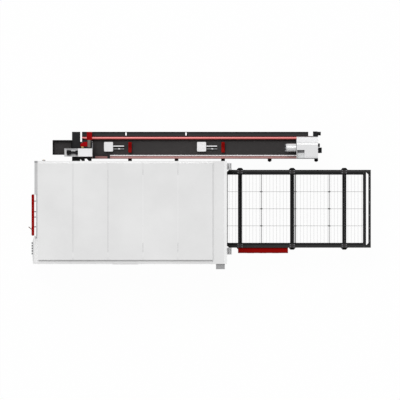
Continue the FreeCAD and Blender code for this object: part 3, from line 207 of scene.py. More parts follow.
def paint(name, levels, gloss=0.4, level=0.5, grain=0.35, wear=0.0):
    """Powder coat or enamel: orange peel, faint tone changes, dust and worn patches."""
    n = Nodes(name)
    colour = srgb(*levels)
    broad = n.spread(n.noise(1.3, 4), 0.35, 0.65, 0, 1)
    tone = n.mix(broad, shade(colour, 0.965), shade(colour, 1.02))
    specks = n.spread(n.noise(260, 2), 0.62, 0.72, 0, 1)
    tone = n.mix(n.spread(specks, 0, 1, 0, 0.25), tone, shade(colour, 0.85))
    if wear:
        scuffs = n.spread(n.noise(38, 6, 0.7, (1, 1, 0.25)), 0.66, 0.74, 0, wear)
        tone = n.mix(scuffs, tone, WORN_METAL)
    n.set("Base Color", tone)
    dull = n.spread(n.noise(9, 5), 0.3, 0.7, gloss - 0.05, gloss + 0.07)
    n.set("Roughness", dull)
    n.set("Specular IOR Level", level)
    peel = n.noise(420, 2)
    n.set("Normal", n.bump(peel, grain, 0.0004, Normal=n.rounded_edges(0.0025)))


def metal(name, colour, rough, grain_axis=(1, 1, 1), grain=0.25, tint=0.85, edge=None, share=1.0):
    """Bare metal with directional grain; a plate across X can have darker, burnt edges.

    A share under 1 is a blasted or phosphated surface that mirrors less.
    """
    n = Nodes(name)
    lines = n.noise(300, 4, 0.6, grain_axis)
    tone = n.mix(n.spread(lines, 0.3, 0.7, 0, 1), shade(colour, tint), colour)
    if edge:
        axes = n.new("SeparateXYZ", Vector=n.new("NewGeometry").outputs["True Normal"])
        across = calculate(n.tree, "ABSOLUTE", axes.outputs["X"])
        bright = n.spread(across, 0.5, 0.9, 0, 1)
        tone = n.mix(bright, edge, tone)
        n.set("Metallic", bright)
    stains = n.spread(n.noise(6, 5, 0.6), 0.55, 0.75, 0, 0.3)
    n.set("Base Color", n.mix(stains, tone, shade(colour, 0.7)))
    if not edge:
        n.set("Metallic", share)
    n.set("Roughness", n.spread(lines, 0.2, 0.8, rough - 0.06, rough + 0.1))
    n.set("Normal", n.bump(lines, grain, 0.0002, Normal=n.rounded_edges(0.0012)))


def rubber(name, colour):
    n = Nodes(name)
    fine = n.noise(500, 3)
    n.set("Base Color", n.mix(fine, shade(colour, 0.7), shade(colour, 1.4)))
    n.set("Roughness", n.spread(fine, 0.3, 0.7, 0.65, 0.85))
    n.set("Specular IOR Level", 0.06)
    n.set("Normal", n.bump(fine, 0.4, 0.0004))


def glass(name, colour):
    """Laser-safe acrylic: deep green, clear, with faint surface ripple."""
    n = Nodes(name)
    ripple = n.noise(4, 2)
    n.set("Base Color", n.mix(ripple, shade(colour, 0.9), shade(colour, 1.1)))
    n.set("Transmission Weight", 0.75)
    n.set("Roughness", 0.04)
    n.set("IOR", 1.49)
    n.set("Normal", n.bump(ripple, 0.05, 0.002))


def screen_glass(name):
    """Dark display with a faint lit field and a grid of soft blocks."""
    n = Nodes(name)
    turn = n.new("Mapping", Rotation=(math.pi / 2, 0, math.pi / 2), Vector=n.position)
    brick = n.new(
        "TexBrick", Scale=9, Mortar_Size=0.02, Color1=(0.02, 0.05, 0.08, 1),
        Color2=(0.015, 0.03, 0.05, 1), Mortar=(0.05, 0.10, 0.14, 1), Vector=turn.outputs["Vector"],
    )
    n.set("Base Color", brick.outputs["Color"])
    n.set("Roughness", 0.16)
    n.set("Specular IOR Level", 0.2)
    n.set("Normal", n.bump(n.noise(30, 2), 0.03, 0.001))


paint("cabinet_paint", (226, 226, 226), 0.45, 0.4)
paint("grey_paint", (190, 190, 191), 0.42, 0.4, wear=0.1)
paint("red_paint", (141, 4, 2), 0.36, 0.03, wear=0.03)
paint("red_deep", (123, 6, 4), 0.34, 0.03, 0.3, wear=0.05)
paint("red_gloss", (148, 6, 10), 0.32, 0.04, 0.2)
paint("black_paint", (40, 40, 41), 0.5, 0.05, 0.5, wear=0.06)
paint("bed_paint", (56, 54, 54), 0.55, 0.07, 0.9, wear=0.06)
paint("white_paint", (224, 224, 225), 0.38, 0.4)
metal("rail_steel", (0.76, 0.73, 0.74, 1), 0.25, (0.05, 1, 1))
paint("front_rail", (138, 98, 96), 0.32, 0.12, 0.2)
metal("slat_steel", (0.42, 0.41, 0.40, 1), 0.42, (1, 0.1, 1), 0.4, 0.7, (0.13, 0.13, 0.13, 1))
metal("chuck_steel", (0.80, 0.80, 0.81, 1), 0.24, (1, 0.05, 0.05))
metal("blasted_steel", (0.70, 0.70, 0.70, 1), 0.3, (1, 0.05, 0.05), share=0.25)
metal("jaw_steel", (0.14, 0.14, 0.15, 1), 0.35)
metal("head_aluminium", (0.75, 0.75, 0.77, 1), 0.35)
rubber("rubber", (0.006, 0.006, 0.006, 1))
glass("window_glass", (0.10, 0.42, 0.16, 1))
screen_glass("screen")
paint("button_plastic", (150, 150, 152), 0.45, 0.4, 0.2)
paint("motor_black", (26, 26, 28), 0.42, 0.08)
metal("handle_metal", (0.22, 0.17, 0.14, 1), 0.35)
metal("brass", (0.66, 0.46, 0.16, 1), 0.28)
paint("header_white", (236, 236, 236), 0.42, 0.4)
paint("light_grey", (210, 210, 211), 0.42, 0.4)
paint("tray_grey", (64, 64, 64), 0.55, 0.05)
paint("deep_black", (20, 20, 20), 0.5, 0.03)
paint("rail_black", (50, 50, 50), 0.5, 0.05, wear=0.06)
# painted light: a whiter copy of the box's white for the rear chuck's slope, which faces the light
paint("slope_lit_white", (250, 250, 250), 0.38, 0.4)
# painted highlight on the rear rail's crown: bright pink on its rear half, dimmer pink on its front
# half
paint("rail_highlight_paint", (253, 158, 157), 0.3, 0.1, 0.2)
paint("rail_dim_highlight_paint", (198, 108, 104), 0.3, 0.1, 0.2)
# painted shade: a near-black red for the rear rail's rounded flanks
paint("rail_flank_shade_paint", (44, 1, 2), 0.34, 0.03, 0.2)
# painted highlight: lighter pink for the front rail's crown
paint("front_highlight_paint", (182, 138, 134), 0.3, 0.1, 0.2)
paint("member_grey", (112, 112, 113), 0.5, 0.2, wear=0.1)
paint("bar_grey", (62, 62, 63), 0.5, 0.1, wear=0.1)
paint("recess_grey", (212, 213, 213), 0.42, 0.3)
paint("rib_grey", (106, 99, 90), 0.45, 0.2)

# nodes whose finish differs a little from their slot's own
NODE_LOOKS = {
    # the console box's lighter grey is painted light, offsetting the cabinet's shade over it
    "console_box": "light_grey",
    "gas_inlet": "button_plastic",
    "front_chuck_rotor": "jaw_steel",
    "rear_chuck_rotor": "blasted_steel",
    "guide_posts": "light_grey",
    "cable_tray": "tray_grey",
    "outfeed_tray": "bed_paint",
    "table_posts": "deep_black",
    "table_side_rails": "rail_black",
}

for row in frame["record"]["subparts"]:
    node = nodes[row["node"]]
    node.data.materials.clear()
    look = NODE_LOOKS.get(row["node"], row["material_slot"])
    node.data.materials.append(MATERIALS[look])


# ---------- mesh helpers ----------
def shown(name, data):
    """New object in the scene."""
    item = bpy.data.objects.new(name, data)
    bpy.context.scene.collection.objects.link(item)
    return item


class Shape:
    """One mesh piece, gathered from simple closed forms."""

    def __init__(self):
        self.bm = bmesh.new()

    def add(self, created, matrix):
        bmesh.ops.transform(self.bm, matrix=matrix, verts=created)

    def block(self, low, high):
        low, high = Vector(low), Vector(high)
        made = bmesh.ops.create_cube(self.bm, size=1.0)["verts"]
        size = high - low
        scale = Matrix.Diagonal((size.x, size.y, size.z, 1))
        self.add(made, Matrix.Translation((low + high) / 2) @ scale)

    def cone(self, base, axis, length, radius, tip, sides=24):
        """Cylinder or cone from its base point, along an axis."""
        made = bmesh.ops.create_cone(
            self.bm, cap_ends=True, segments=sides, radius1=radius, radius2=tip, depth=length
        )["verts"]
        axis = Vector(axis).normalized()
        turn = Vector(UP).rotation_difference(axis).to_matrix().to_4x4()
        middle = Vector(base) + axis * (length / 2)
        self.add(made, Matrix.Translation(middle) @ turn)

    def screw(self, x, y, z, axis, radius):
        """Low domed screw heads; x, y and z are each one place or several."""
        axis = Vector(axis)
        for place in grid(x, y, z):
            self.cone(place, axis, radius * 0.45, radius, radius * 0.82, 14)
            top = Vector(place) + axis * radius * 0.45
            self.cone(top, axis, radius * 0.22, radius * 0.82, radius * 0.5, 14)

    def bolt(self, x, y, z, axis, radius):
        """Hexagon bolt heads on their washers, placed like the screws."""
        axis = Vector(axis)
        for place in grid(x, y, z):
            self.cone(place, axis, radius * 0.2, radius * 1.35, radius * 1.35, 18)
            top = Vector(place) + axis * radius * 0.2
            self.cone(top, axis, radius * 0.65, radius, radius, 6)
            top += axis * radius * 0.65
            self.cone(top, axis, radius * 0.12, radius * 0.9, radius * 0.7, 6)

    def skin(self, rows, closed=False):
        """Four-sided faces between neighbouring rows of vertices."""
        for a, b in zip(rows, rows[1:] + rows[:1] if closed else rows[1:]):
            for i in range(len(a)):
                j = (i + 1) % len(a)
                self.bm.faces.new((a[i], a[j], b[j], b[i]))

    def turned(self, base, axis, profile, sides):
        """Rows of vertices: (radius, height) points revolved about an axis through the base."""
        turn = Vector(UP).rotation_difference(Vector(axis).normalized()).to_matrix()
        rows = []
        for radius, height in profile:
            row = []
            for i in range(sides):
                point = Vector((*polar(radius, 360 * i / sides), height))
                row.append(self.bm.verts.new(Vector(base) + turn @ point))
            rows.append(row)
        return rows

    def ring(self, centre, axis, inner, outer, length, sides=48):
        """Tube of rectangular section."""
        profile = ((outer, 0), (outer, length), (inner, length), (inner, 0))
        self.skin(self.turned(centre, axis, profile, sides), closed=True)

    def lathe(self, base, axis, profile, sides=32):
        """Turned form with flat ends, from its (radius, height) profile."""
        rows = self.turned(base, axis, profile, sides)
        self.skin(rows)
        self.bm.faces.new(rows[0])
        self.bm.faces.new(rows[-1])

    def row(self, outline, axis, level):
        """Vertices of an outline of (u, v) points, at a level along X, Y or Z."""
        at = "xyz".index(axis)
        return [self.bm.verts.new((*point[:at], level, *point[at:])) for point in outline]

    def prism(self, outline, axis, low, high):
        """Outline of (u, v) points extruded along X, Y or Z."""
        rows = [self.row(outline, axis, low), self.row(outline, axis, high)]
        self.bm.faces.new(rows[0])
        self.bm.faces.new(rows[1])
        self.skin(rows)

    def loop(self, outer, inner, axis, low, high):
        """Closed band between two outlines with the same number of points."""
        sides = ((outer, low), (outer, high), (inner, high), (inner, low))
        self.skin([self.row(outline, axis, level) for outline, level in sides], closed=True)

    def finish(
        self, name, slot, bevel=0.0, body="machine", segments=2, smooth=True, look=None
    ):
        """The piece as an object that rides on its body, with its slot's or its own look."""
        bmesh.ops.recalc_face_normals(self.bm, faces=self.bm.faces)
        mesh = bpy.data.meshes.new(name)
        self.bm.to_mesh(mesh)
        self.bm.free()
        piece = shown(name, mesh)
        mesh.materials.append(MATERIALS[look or slot])
        if bevel:
            modifier = piece.modifiers.new("edges", "BEVEL")
            modifier.width = bevel
            modifier.segments = segments
            modifier.limit_method = "ANGLE"
            modifier.angle_limit = math.radians(40)
        if smooth:
            mesh.shade_smooth()
            mesh.set_sharp_from_angle(angle=math.radians(35))
        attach(piece, body)
        return piece


def spaced(low, high, count):
    return [low + (high - low) * i / (count - 1) for i in range(count)]


def grid(*axes):
    """Every combination of places, each axis given as one number or several."""
    return itertools.product(*(a if isinstance(a, (list, tuple)) else (a,) for a in axes))


def rounded(low, high, radius, steps=5, margin=0.0):
    """Rectangle with round corners, from two opposite corners; one step cuts them straight."""
    left, front = low[0] - margin + radius, low[1] - margin + radius
    right, back = high[0] + margin - radius, high[1] + margin - radius
    corners = ((right, back, 0), (left, back, 90), (left, front, 180), (right, front, 270))
    points = []
    for u, v, start in corners:
        arc = [polar(radius, start + 90 * i / steps) for i in range(steps + 1)]
        points += moved(arc, u, v)
    return points


def moved(outline, u, v):
    """Outline given from a corner of the part, put in its place."""
    return [(a + u, b + v) for a, b in outline]


# ---------- cabinet ----------
def wall_screws():
    """Button-head screws round the border of each wall cassette."""
    for node, side in (("front_wall_panels", -1), ("rear_wall_panels", 1)):
        low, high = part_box(node)
        face = low.y if side < 0 else high.y
        shape = Shape()
        pitch = (high.x - low.x + 0.003) / PANEL_COUNT
        for i in range(PANEL_COUNT):
            left = low.x + pitch * i
            edges = (left + 0.025, left + pitch - 0.028)
            ends = (low.z + 0.03, high.z - 0.03)
            between = spaced(low.z + 0.33, high.z - 0.33, 5)
            shape.screw(spaced(*edges, 4), face, ends, (0, side, 0), 0.008)
            shape.screw(edges, face, between, (0, side, 0), 0.008)
        shape.finish(node.replace("panels", "screws"), "chuck_steel")


def window_gasket():
    """Rubber profile in the window opening, and a painted frame round it."""
    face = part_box("front_wall_panels")[0].y
    glass_low, glass_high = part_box("viewing_window")
    middle = (glass_low.x + glass_high.x) / 2
    half = WINDOW_WIDTH / 2
    for name, slot, inner, outer, y in (
        ("window_gasket", "rubber", -0.012, 0.0, (face + 0.004, glass_low.y - 0.0005)),
        ("window_frame", "grey_paint", 0.0, 0.03, (face - 0.006, face + 0.002)),
    ):
        shape = Shape()
        x = (middle - half - outer, middle + half + outer)
        z = (WINDOW_LOW - outer, WINDOW_HIGH + outer)
        inside_x = (middle - half - inner, middle + half + inner)
        inside_z = (WINDOW_LOW - inner, WINDOW_HIGH + inner)
        shape.block((x[0], y[0], z[0]), (inside_x[0], y[1], z[1]))
        shape.block((inside_x[1], y[0], z[0]), (x[1], y[1], z[1]))
        shape.block((inside_x[0], y[0], z[0]), (inside_x[1], y[1], inside_z[0]))
        shape.block((inside_x[0], y[0], inside_z[1]), (inside_x[1], y[1], z[1]))
        shape.finish(name, slot, 0.0015)


def roof_edges():
    """Folded lip along the roof's rear edge, and a raised strip on the header's free edge."""
    low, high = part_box("roof_panels")
    lip = Shape()
    back = high.y
    top = high.z - 0.002
    outline = [
        (back, low.z), (back + 0.014, low.z), (back + 0.014, low.z + 0.002),
        (back + 0.006, low.z + 0.004), (back + 0.006, top - 0.004), (back + 0.002, top),
        (back, top),
    ]
    lip.prism(outline, "x", low.x, high.x)
    lip.screw(spaced(low.x + 0.06, high.x - 0.06, 22), back + 0.006, low.z + 0.03, REAR, 0.006)
    lip.finish("roof_rear_lip", "cabinet_paint", 0.0005)
    low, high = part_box("exchange_header")
    strip = Shape()
    top = high.z + 0.004
    outline = [(high.x - 0.064, high.z), (high.x, high.z), (high.x, top), (high.x - 0.06, top)]
    strip.prism(outline, "y", low.y, high.y)
    strip.screw(high.x, spaced(low.y + 0.05, high.y - 0.05, 12), high.z - 0.03, RIGHT, 0.006)
    strip.finish("header_edge_strip", "white_paint", 0.001, look="header_white")


def rail_cover_cap():
    """End cap on the door rail's cover, and the stop block at the rail's other end."""
    low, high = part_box("sliding_door_track")
    cap = Shape()
    outline = rounded((low.x - 0.003, high.z - 0.033), (high.x, high.z + 0.003), 0.005)
    cap.prism(outline, "y", high.y - 0.038, high.y + 0.003)
    cap.screw((low.x + 0.018, high.x - 0.018), high.y - 0.018, high.z + 0.003, UP, 0.006)
    cap.finish("rail_cover_cap", "rubber", 0.001, look="button_plastic")
    stop = Shape()
    outline = rounded((low.x + 0.002, low.z + 0.02), (high.x, high.z - 0.004), 0.004)
    stop.prism(outline, "y", low.y - 0.034, low.y)
    stop.screw(low.x + 0.002, low.y - 0.017, (low.z + 0.035, high.z - 0.02), LEFT, 0.005)
    stop.finish("rail_end_stop", "grey_paint", 0.001)


def operator_trim():
    """Bezel of the operator's screen, cabinet door with its louvres, hinges and lock."""
    low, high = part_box("operator_screen")
    face = low.x
    bezel = Shape()
    outer = rounded(low.yz, high.yz, 0.014, margin=0.022)
    inner = rounded(low.yz, high.yz, 0.008, margin=-0.003)
    bezel.loop(outer, inner, "x", face - 0.006, face)
    bezel.finish("screen_bezel", "motor_black", 0.0015)
    low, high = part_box("operator_cabinet")
    door = Shape()
    door_low = (low.y + 0.03, low.z + 0.06)
    door_high = (high.y - 0.03, low.z + 0.84)
    door.prism(rounded(door_low, door_high, 0.012), "x", face - 0.002, face)
    for i in range(9):
        z = low.z + 0.2 + 0.03 * i
        hood = [(face - 0.002, z), (face - 0.013, z), (face - 0.002, z + 0.016)]
        door.prism(hood, "y", low.y + 0.15, high.y - 0.15)
    door.finish("operator_door", "cabinet_paint", 0.001)
    fittings = Shape()
    lock = [(0.017, 0), (0.017, 0.004), (0.013, 0.008), (0.006, 0.008), (0.005, 0.005)]
    fittings.lathe((face - 0.002, door_high[0] - 0.05, low.z + 0.5), LEFT, lock, 24)
    hinge_y = door_low[0] + 0.008
    for z in (low.z + 0.15, low.z + 0.72):
        for i in range(3):
            fittings.cone((face - 0.008, hinge_y, z + 0.021 * i), UP, 0.02, 0.007, 0.007, 16)
        fittings.block((face - 0.004, hinge_y - 0.02, z), (face - 0.002, hinge_y + 0.02, z + 0.062))
    fittings.finish("operator_door_fittings", "chuck_steel")


def door_trim():
    """Rubber bulbs on the sliding door's upright edges, and screws round its fields."""
    low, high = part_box("sliding_door")
    seals = Shape()
    bulb = [(0.02, 0), (0.02, 0.004), (0.026, 0.008), (0.036, 0.008), (0.042, 0.004), (0.042, 0)]
    for y, side in ((low.y, -1), (high.y, 1)):
        outline = [(low.x + u, y + side * v) for u, v in bulb]
        seals.prism(outline, "z", low.z + 0.02, high.z - 0.02)
    seals.finish("sliding_door_seals", "rubber", body="sliding_door")
    screws = Shape()
    screws.screw(
        low.x, (low.y + 0.035, high.y - 0.035), spaced(low.z + 0.05, high.z - 0.05, 8), LEFT, 0.007
    )
    screws.screw(
        low.x, spaced(low.y + 0.2, high.y - 0.2, 4), (low.z + 0.035, high.z - 0.035), LEFT, 0.007
    )
    screws.finish("sliding_door_screws", "chuck_steel", body="sliding_door")


def console_trim():
    """Rubber gasket between the console and the wall, and its cover screws."""
    low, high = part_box("console_box")
    gasket = Shape()
    outer = rounded(low.xz, high.xz, 0.008, margin=0.006)
    inner = rounded(low.xz, high.xz, 0.004, margin=-0.001)
    gasket.loop(outer, inner, "y", high.y - 0.005, high.y)
    gasket.finish("console_gasket", "rubber", 0.001)
    screws = Shape()
    for x, side in ((low.x, -1), (high.x, 1)):
        y = (low.y + 0.014, high.y - 0.02)
        screws.screw(x, y, (low.z + 0.014, low.z + 0.08), (side, 0, 0), 0.005)
    screws.finish("console_screws", "chuck_steel")


def gas_fitting():
    """Brass ring round the gas port, and the connection block's screws."""
    low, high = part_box("gas_inlet")
    x = (low.x + high.x) / 2
    z = (low.z + high.z) / 2
    ring = Shape()
    ring.ring((x, high.y, z), REAR, 0.0125, 0.02, 0.004, 6)
    ring.ring((x, high.y + 0.004, z), REAR, 0.0125, 0.017, 0.005)
    ring.finish("gas_port_ring", "chuck_steel", 0.0006, look="brass")
    screws = Shape()
    screws.screw(
        (low.x + 0.01, high.x - 0.01), high.y, (low.z + 0.009, high.z - 0.009), REAR, 0.0045
    )
    screws.finish("gas_block_screws", "chuck_steel")


roof_edges()
rail_cover_cap()
operator_trim()
door_trim()
console_trim()
gas_fitting()
wall_screws()
window_gasket()


# ---------- exchange table ----------
def rail_caps():
    """Cap plates with cut corners on both side rails, bolted down over the posts."""
    low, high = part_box("table_side_rails")
    plates = Shape()
    bolts = Shape()
    for x in POST_PLACES:
        for edge, side in ((high.y, -1), (low.y, 1)):
            y = sorted((edge, edge + side * 0.084))
            plate = rounded((x - 0.073, y[0]), (x + 0.073, y[1]), 0.02, steps=1)
            plates.prism(plate, "z", high.z, high.z + 0.004)
            bolts.bolt(
                (x - 0.045, x + 0.045), (edge + side * 0.018, edge + side * 0.066), high.z + 0.004,
                UP, 0.009,
            )
    plates.finish("rail_cap_plates", "black_paint", 0.001, look="bed_paint")
    bolts.finish("rail_cap_bolts", "jaw_steel")


def rail_bolts():
    """Bolts along the rails' webs, and in the outer end bar."""
    low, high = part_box("table_side_rails")
    shape = Shape()
    z = (low.z + high.z) / 2
    for face, side in ((high.y - 0.05, 1), (low.y + 0.05, -1)):
        shape.bolt(spaced(low.x + 0.14, high.x - 0.1, 16), face, z, (0, side, 0), 0.009)
    bar_low, bar_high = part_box("table_cross_bars")
    shape.bolt(
        bar_high.x - 0.028, spaced(bar_low.y + 0.09, bar_high.y - 0.09, 6), bar_high.z, UP, 0.008
    )
    shape.finish("table_bolts", "jaw_steel")


def drive_cover_trim():
    """Louvre hoods and screws on the chain cover's outer face."""
    low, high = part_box("drive_cover")
    hoods = Shape()
    for field in range(3):
        left = low.x + 0.213 + 0.275 * field
        for i in range(5):
            z = low.z + 0.1 + 0.035 * i
            outline = [(low.y, z), (low.y - 0.003, z), (low.y, z + 0.018)]
            hoods.prism(outline, "x", left, left + 0.15)
    hoods.finish("drive_cover_louvres", "red_paint", 0.001)
    screws = Shape()
    screws.screw(
        spaced(low.x + 0.03, high.x - 0.03, 9), low.y, (low.z + 0.045, high.z - 0.045), FRONT, 0.007
    )
    screws.finish("drive_cover_screws", "chuck_steel")


def guide_brushes():
    """Brush holders with rubber lips in the two grooves of both guide posts."""
    low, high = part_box("guide_posts")
    groove = 0.022
    fin = (high.x - low.x - 2 * groove) / 3
    post_depth = 0.13
    top = high.z - 0.004
    holders = Shape()
    lips = Shape()
    for edge, side in ((high.y, -1), (low.y, 1)):
        y = sorted((edge + side * 0.003, edge + side * post_depth))
        for i in range(2):
            x = low.x + fin * (i + 1) + groove * i
            holders.block((x + 0.0015, y[0], low.z), (x + groove - 0.0015, y[1], top))
            for lip in (x + 0.006, x + 0.0135):
                lips.block((lip, y[0], top), (lip + 0.0025, y[1], top + 0.003))
    holders.finish("guide_brush_holders", "grey_paint", 0.001)
    lips.finish("guide_brush_lips", "rubber", 0.0005)


rail_caps()
rail_bolts()
drive_cover_trim()
guide_brushes()


# ---------- pallets ----------
def fine_slats(level, body):
    """Slats with their real number of teeth, in place of the plainer ones."""
    node = f"{level}_pallet_slats"
    low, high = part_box(node)
    first = low.x + SLAT_THICKNESS / 2
    last = high.x - SLAT_THICKNESS / 2
    pitch = (high.y - low.y) / SLAT_TEETH
    outline = [(low.y, low.z), (low.y, high.z - SLAT_TOOTH)]
    for i in range(SLAT_TEETH):
        outline.append((low.y + pitch * (i + 0.35), high.z))
        outline.append((low.y + pitch * (i + 0.65), high.z))
        outline.append((low.y + pitch * (i + 1), high.z - SLAT_TOOTH))
    outline.append((high.y, low.z))
    shape = Shape()
    for x in spaced(first, last, SLAT_COUNT):
        shape.prism(outline, "x", x - SLAT_EDGE / 2, x + SLAT_EDGE / 2)
    piece = shape.finish(f"{level}_slats", "slat_steel", body=body, smooth=False)
    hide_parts(node)


def pallet_frame(level, body):
    """Black side tubes with end caps, grey cross-members, gussets and lengthwise bars."""
    node = f"{level}_pallet_frame"
    low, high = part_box(node)
    tube = 0.048
    cap_depth = 0.004
    sides = Shape()
    caps = Shape()
    for y in (low.y, high.y - tube):
        sides.prism(rounded((y, low.z), (y + tube, high.z), 0.005), "x", low.x, high.x)
        cap = rounded((y - 0.0005, low.z + 0.001), (y + tube + 0.0005, high.z + 0.0005), 0.005)
        for x in (low.x, high.x - cap_depth):
            caps.prism(cap, "x", x, x + cap_depth)
    side_piece = sides.finish(f"{level}_side_tubes", "black_paint", body=body)
    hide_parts(node)
    caps.finish(f"{level}_tube_caps", "rubber", body=body)
    members = Shape()
    bars = Shape()
    top = low.z + 0.06
    half_end, half_middle = 0.0075, 0.014
    bay = (high.x - low.x - 2 * half_end) / PALLET_BAYS
    centre = (low.y + high.y) / 2
    bar_places = [centre + 0.384 * i for i in (-1, 0, 1)]
    for i in range(PALLET_BAYS + 1):
        x = low.x + half_end + bay * i
        half = half_middle if i == PALLET_BAYS // 2 else half_end
        members.block((x - half, low.y + tube, low.z), (x + half, high.y - tube, top))
        if i in (0, PALLET_BAYS):
            continue
        for y in bar_places:
            gusset = [(x - 0.042, y), (x, y - 0.02), (x + 0.042, y), (x, y + 0.02)]
            members.prism(gusset, "z", top - 0.012, top + 0.0005)
    for y in bar_places:
        bars.block((low.x, y - 0.003, low.z), (high.x, y + 0.003, top))
        for x in spaced(low.x + 0.1, high.x - 0.1, 9):
            bars.cone((x, y, top), UP, 0.002, 0.0028, 0.002, 10)
    member_piece = members.finish(
        f"{level}_members", "black_paint", 0.0015, body, look="member_grey"
    )
    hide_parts(node)
    bar_piece = bars.finish(f"{level}_bars", "black_paint", 0.001, body, look="bar_grey")
    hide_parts(node)


for level in ("upper", "lower"):
    fine_slats(level, f"{level}_pallet")
    pallet_frame(level, f"{level}_pallet")


# ---------- tube unit ----------
def tray_rings():
    """Rubber edge rings round the cable tray's two oval slots."""
    low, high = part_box("cable_tray")
    y = (low.y + high.y) / 2
    z = low.z + 0.004
    shape = Shape()
    for x in TRAY_SLOTS:
        outer = rounded((x - 0.034, y - 0.042), (x + 0.034, y + 0.042), 0.0335, 10)
        inner = rounded((x - 0.017, y - 0.038), (x + 0.017, y + 0.038), 0.0165, 10)
        shape.loop(outer, inner, "z", z, z + 0.01)
    shape.finish("tray_slot_rings", "rubber", 0.001)


def flat_strip(left, right, low, high):
    """Section of a thin strip with its upper corners drawn in."""
    inset = 0.0005
    return [(left, low), (right, low), (right - inset, high), (left + inset, high)]


def guide_rails():
    """Rear rail with dark flanks that are painted shade and a crown that is a painted highlight,
    and the front rail's crown, also a painted highlight.
    """
    low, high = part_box("rear_guide_rail")
    top = high.z - 0.0005
    arc = 0.024
    outline = [(low.y, low.z), (high.y, low.z)]
    for centre, start in ((high.y - arc, 0), (low.y + arc, 90)):
        outline += moved([polar(arc, start + 15 * i) for i in range(7)], centre, top - arc)
    # the rail's body in a near-black red, painted shade on its rounded flanks
    flanks = Shape()
    flanks.prism(outline, "x", low.x, high.x)
    piece = flanks.finish("rear_rail_shaded_flanks", "red_gloss", look="rail_flank_shade_paint")
    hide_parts("rear_guide_rail")
    middle = (low.y + high.y) / 2 + 0.0015
    width = 0.0225
    # two thin strips on the rail's top: a painted highlight, brighter on the rear half than on the
    # front half
    for name, look, edge in (
        ("rear_rail_highlight", "rail_highlight_paint", middle),
        ("rear_rail_dim_highlight", "rail_dim_highlight_paint", middle - width),
    ):
        crown = Shape()
        section = flat_strip(edge, edge + width, top - 0.001, high.z)
        crown.prism(section, "x", low.x + 0.001, high.x - 0.001)
        crown.finish(name, "red_gloss", look=look)
    low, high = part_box("front_guide_rail")
    stand_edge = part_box("chuck_stand")[1].x
    # a thin lighter strip along the front rail's top, a painted highlight
    crown = Shape()
    section = flat_strip(low.y + 0.0195, low.y + 0.0405, high.z - 0.001, high.z + 0.0001)
    crown.prism(section, "x", stand_edge + 0.002, high.x - 0.001)
    crown.finish("front_rail_highlight", "front_rail", look="front_highlight_paint")
    plugs = Shape()
    for x in spaced(low.x + 0.45, high.x - 0.04, 60):
        place = (x, high.y + 0.012, low.z + 0.019)
        plugs.cone(place, UP, 0.0011, 0.0055, 0.005, 16)
    plugs.finish("steel_rail_plugs", "jaw_steel")


def levelling_feet():
    """Round pads with threaded stems and lock nuts, and cover plates on the bed's lugs."""
    bed_low, bed_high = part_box("tube_bed")
    pads = Shape()
    stems = Shape()
    plates = Shape()
    pad_height = 0.036
    pad = [
        (0.041, 0.0), (0.041, 0.01), (0.039, 0.013), (0.034, 0.016), (0.022, 0.022),
        (0.017, 0.03), (0.017, pad_height),
    ]
    cap = [(0.028, 0.0), (0.028, 0.008), (0.025, 0.014), (0.018, 0.017), (0.008, 0.018)]
    crest, root, turn = 0.0125, 0.0105, 0.004
    thread = [(0.012, pad_height - 0.002)]
    for i in range(28):
        z = pad_height + turn * i
        thread += [(crest, z), (root, z + turn / 2)]
    thread.append((crest, 0.15))
    lug_top, plate_top = 0.18, 0.185
    for x in FOOT_PLACES:
        for y, inward in ((bed_low.y + 0.012, 1), (bed_high.y - 0.012, -1)):
            pads.lathe((x, y, 0), UP, pad, 36)
            stems.lathe((x, y, 0), UP, thread, 14)
            for z in (pad_height, 0.132):
                stems.cone((x, y, z), UP, 0.014, 0.02, 0.02, 6)
            lug_y = y + inward * 0.011
            outline = rounded((x - 0.043, lug_y - 0.036), (x + 0.043, lug_y + 0.03), 0.006)
            plates.prism(outline, "z", lug_top, plate_top)
            plates.lathe((x, y, plate_top), UP, cap, 30)
    plates.finish("foot_lug_plates", "rubber", 0.001)
    piece = pads.finish("foot_pads", "rubber")
    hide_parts("tube_bed_feet")
    stem_piece = stems.finish("foot_stems", "rubber", look="jaw_steel")
    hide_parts("tube_bed_feet")


def tube_support(index):
    """Lifting V block with well rounded edges on its square stem."""
    node = f"tube_support_{index}"
    low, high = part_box(node)
    groove = 0.092
    head_low = high.z - 0.08
    outline = [
        (low.y, head_low),
        (high.y, head_low),
        (high.y, high.z),
        (TUBE_AXIS_Y + groove, high.z),
        (TUBE_AXIS_Y, high.z - groove / 2),
        (TUBE_AXIS_Y - groove, high.z),
        (low.y, high.z),
    ]
    head = Shape()
    head.prism(outline, "x", low.x, high.x)
    piece = head.finish(f"support_head_{index}", "red_paint", 0.018, node, 5, look="red_deep")
    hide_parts(node)
    middle = (low.x + high.x) / 2
    half = 0.03
    stem = Shape()
    stem_low = (middle - half, TUBE_AXIS_Y - half)
    stem_high = (middle + half, TUBE_AXIS_Y + half)
    stem.prism(rounded(stem_low, stem_high, 0.004), "z", low.z, head_low)
    stem_piece = stem.finish(f"support_stem_{index}", "red_paint", body=node)
    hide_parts(node)


